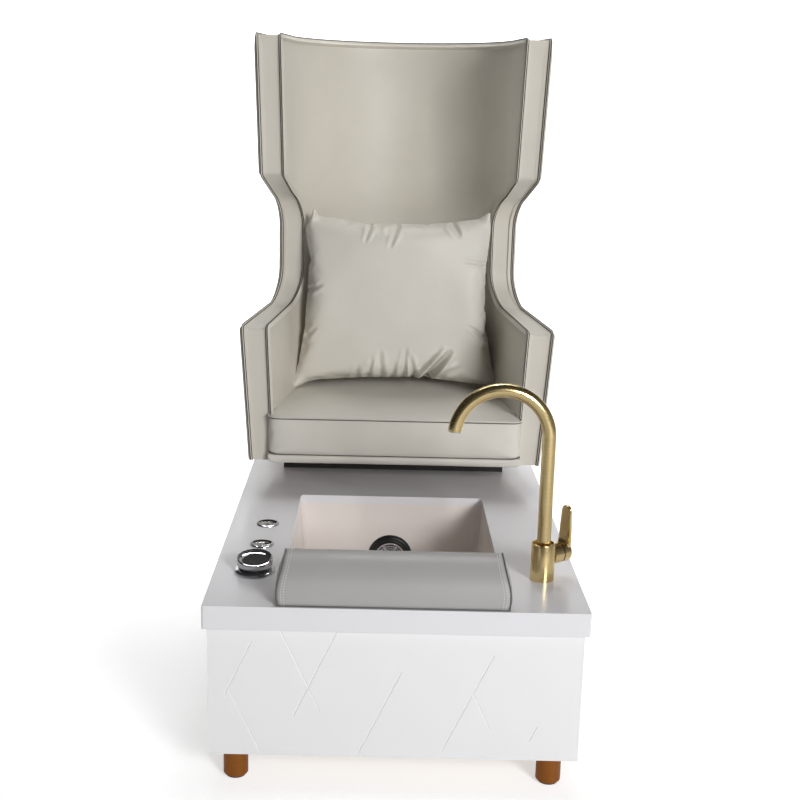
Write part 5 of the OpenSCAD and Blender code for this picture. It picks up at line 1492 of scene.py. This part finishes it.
@dataclass
class Pillow:
    """Loose knife-edged cushion, smooth in its middle, gathered at its seams, with folded ears at its corners."""

    width: float = 482.0
    height: float = 416.0
    depth: float = 138.0
    cut: float = 520.0
    squat: float = 0.93
    gap: float = 3.0
    start_bulge: float = 0.012
    uneven: float = 0.0002
    centre: Triple = (0.0, 425.0, 813.0)
    lean: float = 5.0
    foot_spread: float = 0.04
    cells: int = 88
    pressure: float = 2.2
    steps: int = 22
    folds: tuple[Fold, ...] = (
        Fold((84.0, -206.0), (152.0, -126.0), 10.0, 56.0), Fold((66.0, -200.0), (134.0, -116.0), 8.0, -14.0),
        Fold((112.0, -208.0), (180.0, -170.0), 9.0, 18.0),
        Fold((-106.0, -206.0), (-98.0, -166.0), 8.0, 9.0), Fold((-74.0, -206.0), (-62.0, -148.0), 7.0, 10.0),
        Fold((-38.0, -206.0), (-42.0, -126.0), 9.0, 11.0), Fold((-8.0, -206.0), (0.0, -160.0), 7.0, 10.0),
        Fold((22.0, -206.0), (28.0, -118.0), 8.0, 15.0), Fold((52.0, -206.0), (36.0, -136.0), 8.0, 15.0),
        Fold((-74.0, 200.0), (-88.0, 156.0), 6.0, 14.0), Fold((-2.0, 200.0), (-22.0, 142.0), 6.5, 17.0),
        Fold((-36.0, 204.0), (-40.0, 176.0), 9.0, -5.0), Fold((244.0, 106.0), (176.0, 112.0), 6.0, 13.0),
        Fold((242.0, -92.0), (190.0, -58.0), 6.0, 13.0), Fold((-240.0, 24.0), (-196.0, 44.0), 6.5, 15.0),
        Fold((-240.0, -96.0), (-210.0, -70.0), 6.0, 13.0), Fold((146.0, 206.0), (166.0, 172.0), 9.0, 24.0))
    ears: tuple[tuple[tuple[int, int], float, Triple], ...] = (
        ((-1, 1), 44.0, (24.0, 12.0, 18.0)), ((1, 1), 40.0, (-7.0, 12.0, 22.0)),
        ((-1, -1), 44.0, (-3.0, -12.0, 14.0)), ((1, -1), 60.0, (12.0, 2.0, 6.0)))

    def build(self) -> None:
        """Two sheets sewn at the rim, blown up, then creased."""
        rng = random.Random(SEED)
        half = self.cut / 2 * MM
        bm = bmesh.new()
        bmesh.ops.create_grid(bm, x_segments=self.cells, y_segments=self.cells, size=1.0)
        reach = max(v.co.x for v in bm.verts)
        bmesh.ops.scale(bm, vec=(half / reach, self.squat * half / reach, 1.0), verts=bm.verts)
        drawn(bm, bm.faces[:], mm(0, 0, -self.gap))
        for v in bm.verts:
            start = math.copysign(self.start_bulge * self.bulge(v.co, half), v.co.z + self.gap / 2 * MM)
            v.co.z += start + rng.uniform(-self.uneven, self.uneven)
        obj = link("pillow_cover", bm)
        self.inflate(obj)
        self.fit(obj)
        obj = modified(obj, "SUBSURF", levels=1, render_levels=1)
        self.crease(obj)
        upright = Matrix.Rotation(math.radians(90 - self.lean), 4, "X")
        obj.data.transform(Matrix.Translation(mm(*self.centre)) @ upright)
        finished(obj, LIT_LEATHER, ["pillow"], body=Body.PILLOW)

    def bulge(self, co: Vector, half: float) -> float:
        """Share of the full thickness at a point of the flat cover."""
        return max(1 - (co.x / half) ** 2, 0.0) * max(1 - (co.y / half / self.squat) ** 2, 0.0)

    def inflate(self, obj: Piece) -> None:
        """Cloth with air inside and a gathered seam."""
        blown(obj, self.steps, (12, 6, 5), quality=7, mass=0.2, bending_stiffness=1.5,
              uniform_pressure_force=self.pressure)

    def fit(self, obj: Piece) -> None:
        """Scales the blown-up cover to its width, height and depth at its middle, and spreads its foot."""
        verts = obj.data.vertices
        mid = sum((v.co for v in verts), Vector()) / len(verts)
        near = 0.02
        wide = max(v.co.x - mid.x for v in verts if abs(v.co.y - mid.y) < near)
        tall = max(v.co.y - mid.y for v in verts if abs(v.co.x - mid.x) < near)
        deep = max(v.co.z - mid.z for v in verts)
        LOG.info("pillow blown up to %.0f x %.0f x %.0f mm", 2 * wide / MM, 2 * tall / MM, 2 * deep / MM)
        for v in verts:
            away = v.co - mid
            spread = 1.0 - self.foot_spread * away.y / (self.height / 2 * MM)
            v.co = Vector((away.x * self.width / 2 * MM / wide * spread, away.y * self.height / 2 * MM / tall,
                           away.z * self.depth / 2 * MM / deep))

    def crease(self, obj: Piece) -> None:
        """Folds of the front cover, and the corners' ears turned over."""
        verts = obj.data.vertices
        for (side_x, side_y), reach, shift in self.ears:
            tip = max(verts, key=lambda v: v.co.x * side_x + v.co.y * side_y).co.copy()
            for v in verts:
                away = (v.co - tip).length / MM
                if away < reach:
                    v.co += mm(*shift) * smoothstep(1 - away / reach)
        for v in verts:
            front = smoothstep((v.co.z / MM + 4.0) / 10.0)
            if front > 0.0:
                v.co.z -= front * sum(fold.drop(v.co.x / MM, v.co.y / MM) for fold in self.folds) * MM


# ---------------------------------------------------------------- stage


@dataclass
class Studio:
    """Pale floor, soft lights and the camera."""

    white: tuple[float, ...] = (1.0, 1.0, 1.0, 1.0)
    eye: Triple = (-45.1, -2967.9, 1326.0)
    yaw: float = 0.11
    pitch: float = 13.54
    roll: float = -1.2
    focal_px: float = 1260.7
    centre_px: Pair = (375.0, 409.5)

    def build(self) -> None:
        """Everything round the object."""
        self.floor()
        self.lights()
        self.camera()

    def floor(self) -> None:
        """Large pale floor that turns up into a backdrop."""
        half, back, rise, bend, steps = 6.0, 4.0, 2.5, 1.2, 12
        angles = [math.pi / 2 * k / steps for k in range(steps + 1)]
        arc = [(back - bend + bend * math.sin(a), bend - bend * math.cos(a)) for a in angles]
        profile = [(-half, 0.0), *arc, (back, rise)]
        bm = grid(1, len(profile) - 1, lambda i, j: Vector(((i * 2 - 1) * half, *profile[j])))
        bmesh.ops.recalc_face_normals(bm, faces=bm.faces)
        cove = shade(link("studio_cove", bm), 60.0)
        paint = bpy.data.materials.new("studio white")
        paint.use_nodes = True
        tree = paint.node_tree
        sockets = tree.nodes["Principled BSDF"].inputs
        sockets["Roughness"].default_value = 0.8
        sockets["Emission Color"].default_value = self.white
        tree.links.new(self.seen_or(tree, 0.08, 0.56), sockets["Emission Strength"])
        cove.data.materials.append(paint)

    def lights(self) -> None:
        """Key from the front right, a top lamp, a wash on the backdrop, and a world that is dark overhead."""
        bpy.context.scene.view_settings.view_transform = "Standard"
        world = bpy.data.worlds.new("studio")
        bpy.context.scene.world = world
        world.use_nodes = True
        tree = world.node_tree
        way = add(tree, "ShaderNodeTexCoord").outputs["Generated"]
        parts = add(tree, "ShaderNodeSeparateXYZ", {"Vector": way}).outputs
        side = ramp(tree, parts["X"], (-0.7, 0.5), 0.03, 0.22)
        light = ramp(tree, parts["Z"], (0.05, 0.75), side, 0.04)
        sky = tree.nodes["Background"].inputs
        sky["Color"].default_value = self.white
        tree.links.new(self.seen_or(tree, light, 1.0), sky["Strength"])
        self.area("key", (2.9, -5.8, 2.7), 1.9, 312.0)
        self.area("top", (0.1, 1.75, 3.6), 0.6, 16.0, (0.0, -0.3, 0.4))
        self.area("wash", (0.0, 1.7, 3.6), 2.6, 150.0, (0.0, 4.2, 0.9))

    def seen_or(self, tree: Tree, lit: float | Socket, seen: float) -> Socket:
        """One strength for the light that a surface gives, and another for how the camera sees it."""
        return ramp(tree, add(tree, "ShaderNodeLightPath").outputs["Is Camera Ray"], (0.0, 1.0), lit, seen)

    def area(self, name: str, place: Triple, size: float, power: float, aim: Triple = (0.0, 0.0, 0.7)) -> None:
        """One soft lamp.

        Args:
            name: Its name.
            place: Where it stands, in metres.
            size: Its side in metres.
            power: Its power in watts.
            aim: The point that it is turned to.
        """
        lamp = bpy.data.lights.new(name, "AREA")
        lamp.size = size
        lamp.energy = power
        obj = bpy.data.objects.new(name, lamp)
        obj.location = place
        obj.rotation_euler = (Vector(place) - Vector(aim)).to_track_quat("Z", "Y").to_euler()
        bpy.context.scene.collection.objects.link(obj)

    def camera(self) -> None:
        """The camera, from its fitted place, turn and lens."""
        yaw, pitch, roll = (math.radians(a) for a in (self.yaw, self.pitch, self.roll))
        right = Vector((math.cos(yaw), math.sin(yaw), 0))
        ahead = Vector((-math.sin(yaw) * math.cos(pitch), math.cos(yaw) * math.cos(pitch), -math.sin(pitch)))
        up = right.cross(ahead)
        tilted_right = right * math.cos(roll) - up * math.sin(roll)
        tilted_up = right * math.sin(roll) + up * math.cos(roll)
        data = bpy.data.cameras.new("camera")
        data.sensor_width = 36.0
        data.lens = self.focal_px / FRAME_PX * data.sensor_width
        data.shift_x = 0.5 - self.centre_px[0] / FRAME_PX
        data.shift_y = self.centre_px[1] / FRAME_PX - 0.5
        data.clip_end = 50.0
        obj = bpy.data.objects.new("camera", data)
        turn = Matrix((tilted_right, tilted_up, -ahead)).transposed().to_4x4()
        obj.matrix_world = Matrix.Translation(mm(*self.eye)) @ turn
        bpy.context.scene.collection.objects.link(obj)
        bpy.context.scene.camera = obj


def main() -> None:
    """Builds the studio and every piece in order."""
    logging.basicConfig(level=logging.INFO, format="%(name)s: %(message)s")
    dress_frame()
    for maker in (Studio(), Plinth(), FootTub(), Controls(), Tap(), Footrest(), ChairShell(), Seat(), Pillow()):
        maker.build()
        LOG.info("%s done", type(maker).__name__)


if __name__ == "__main__":
    main()
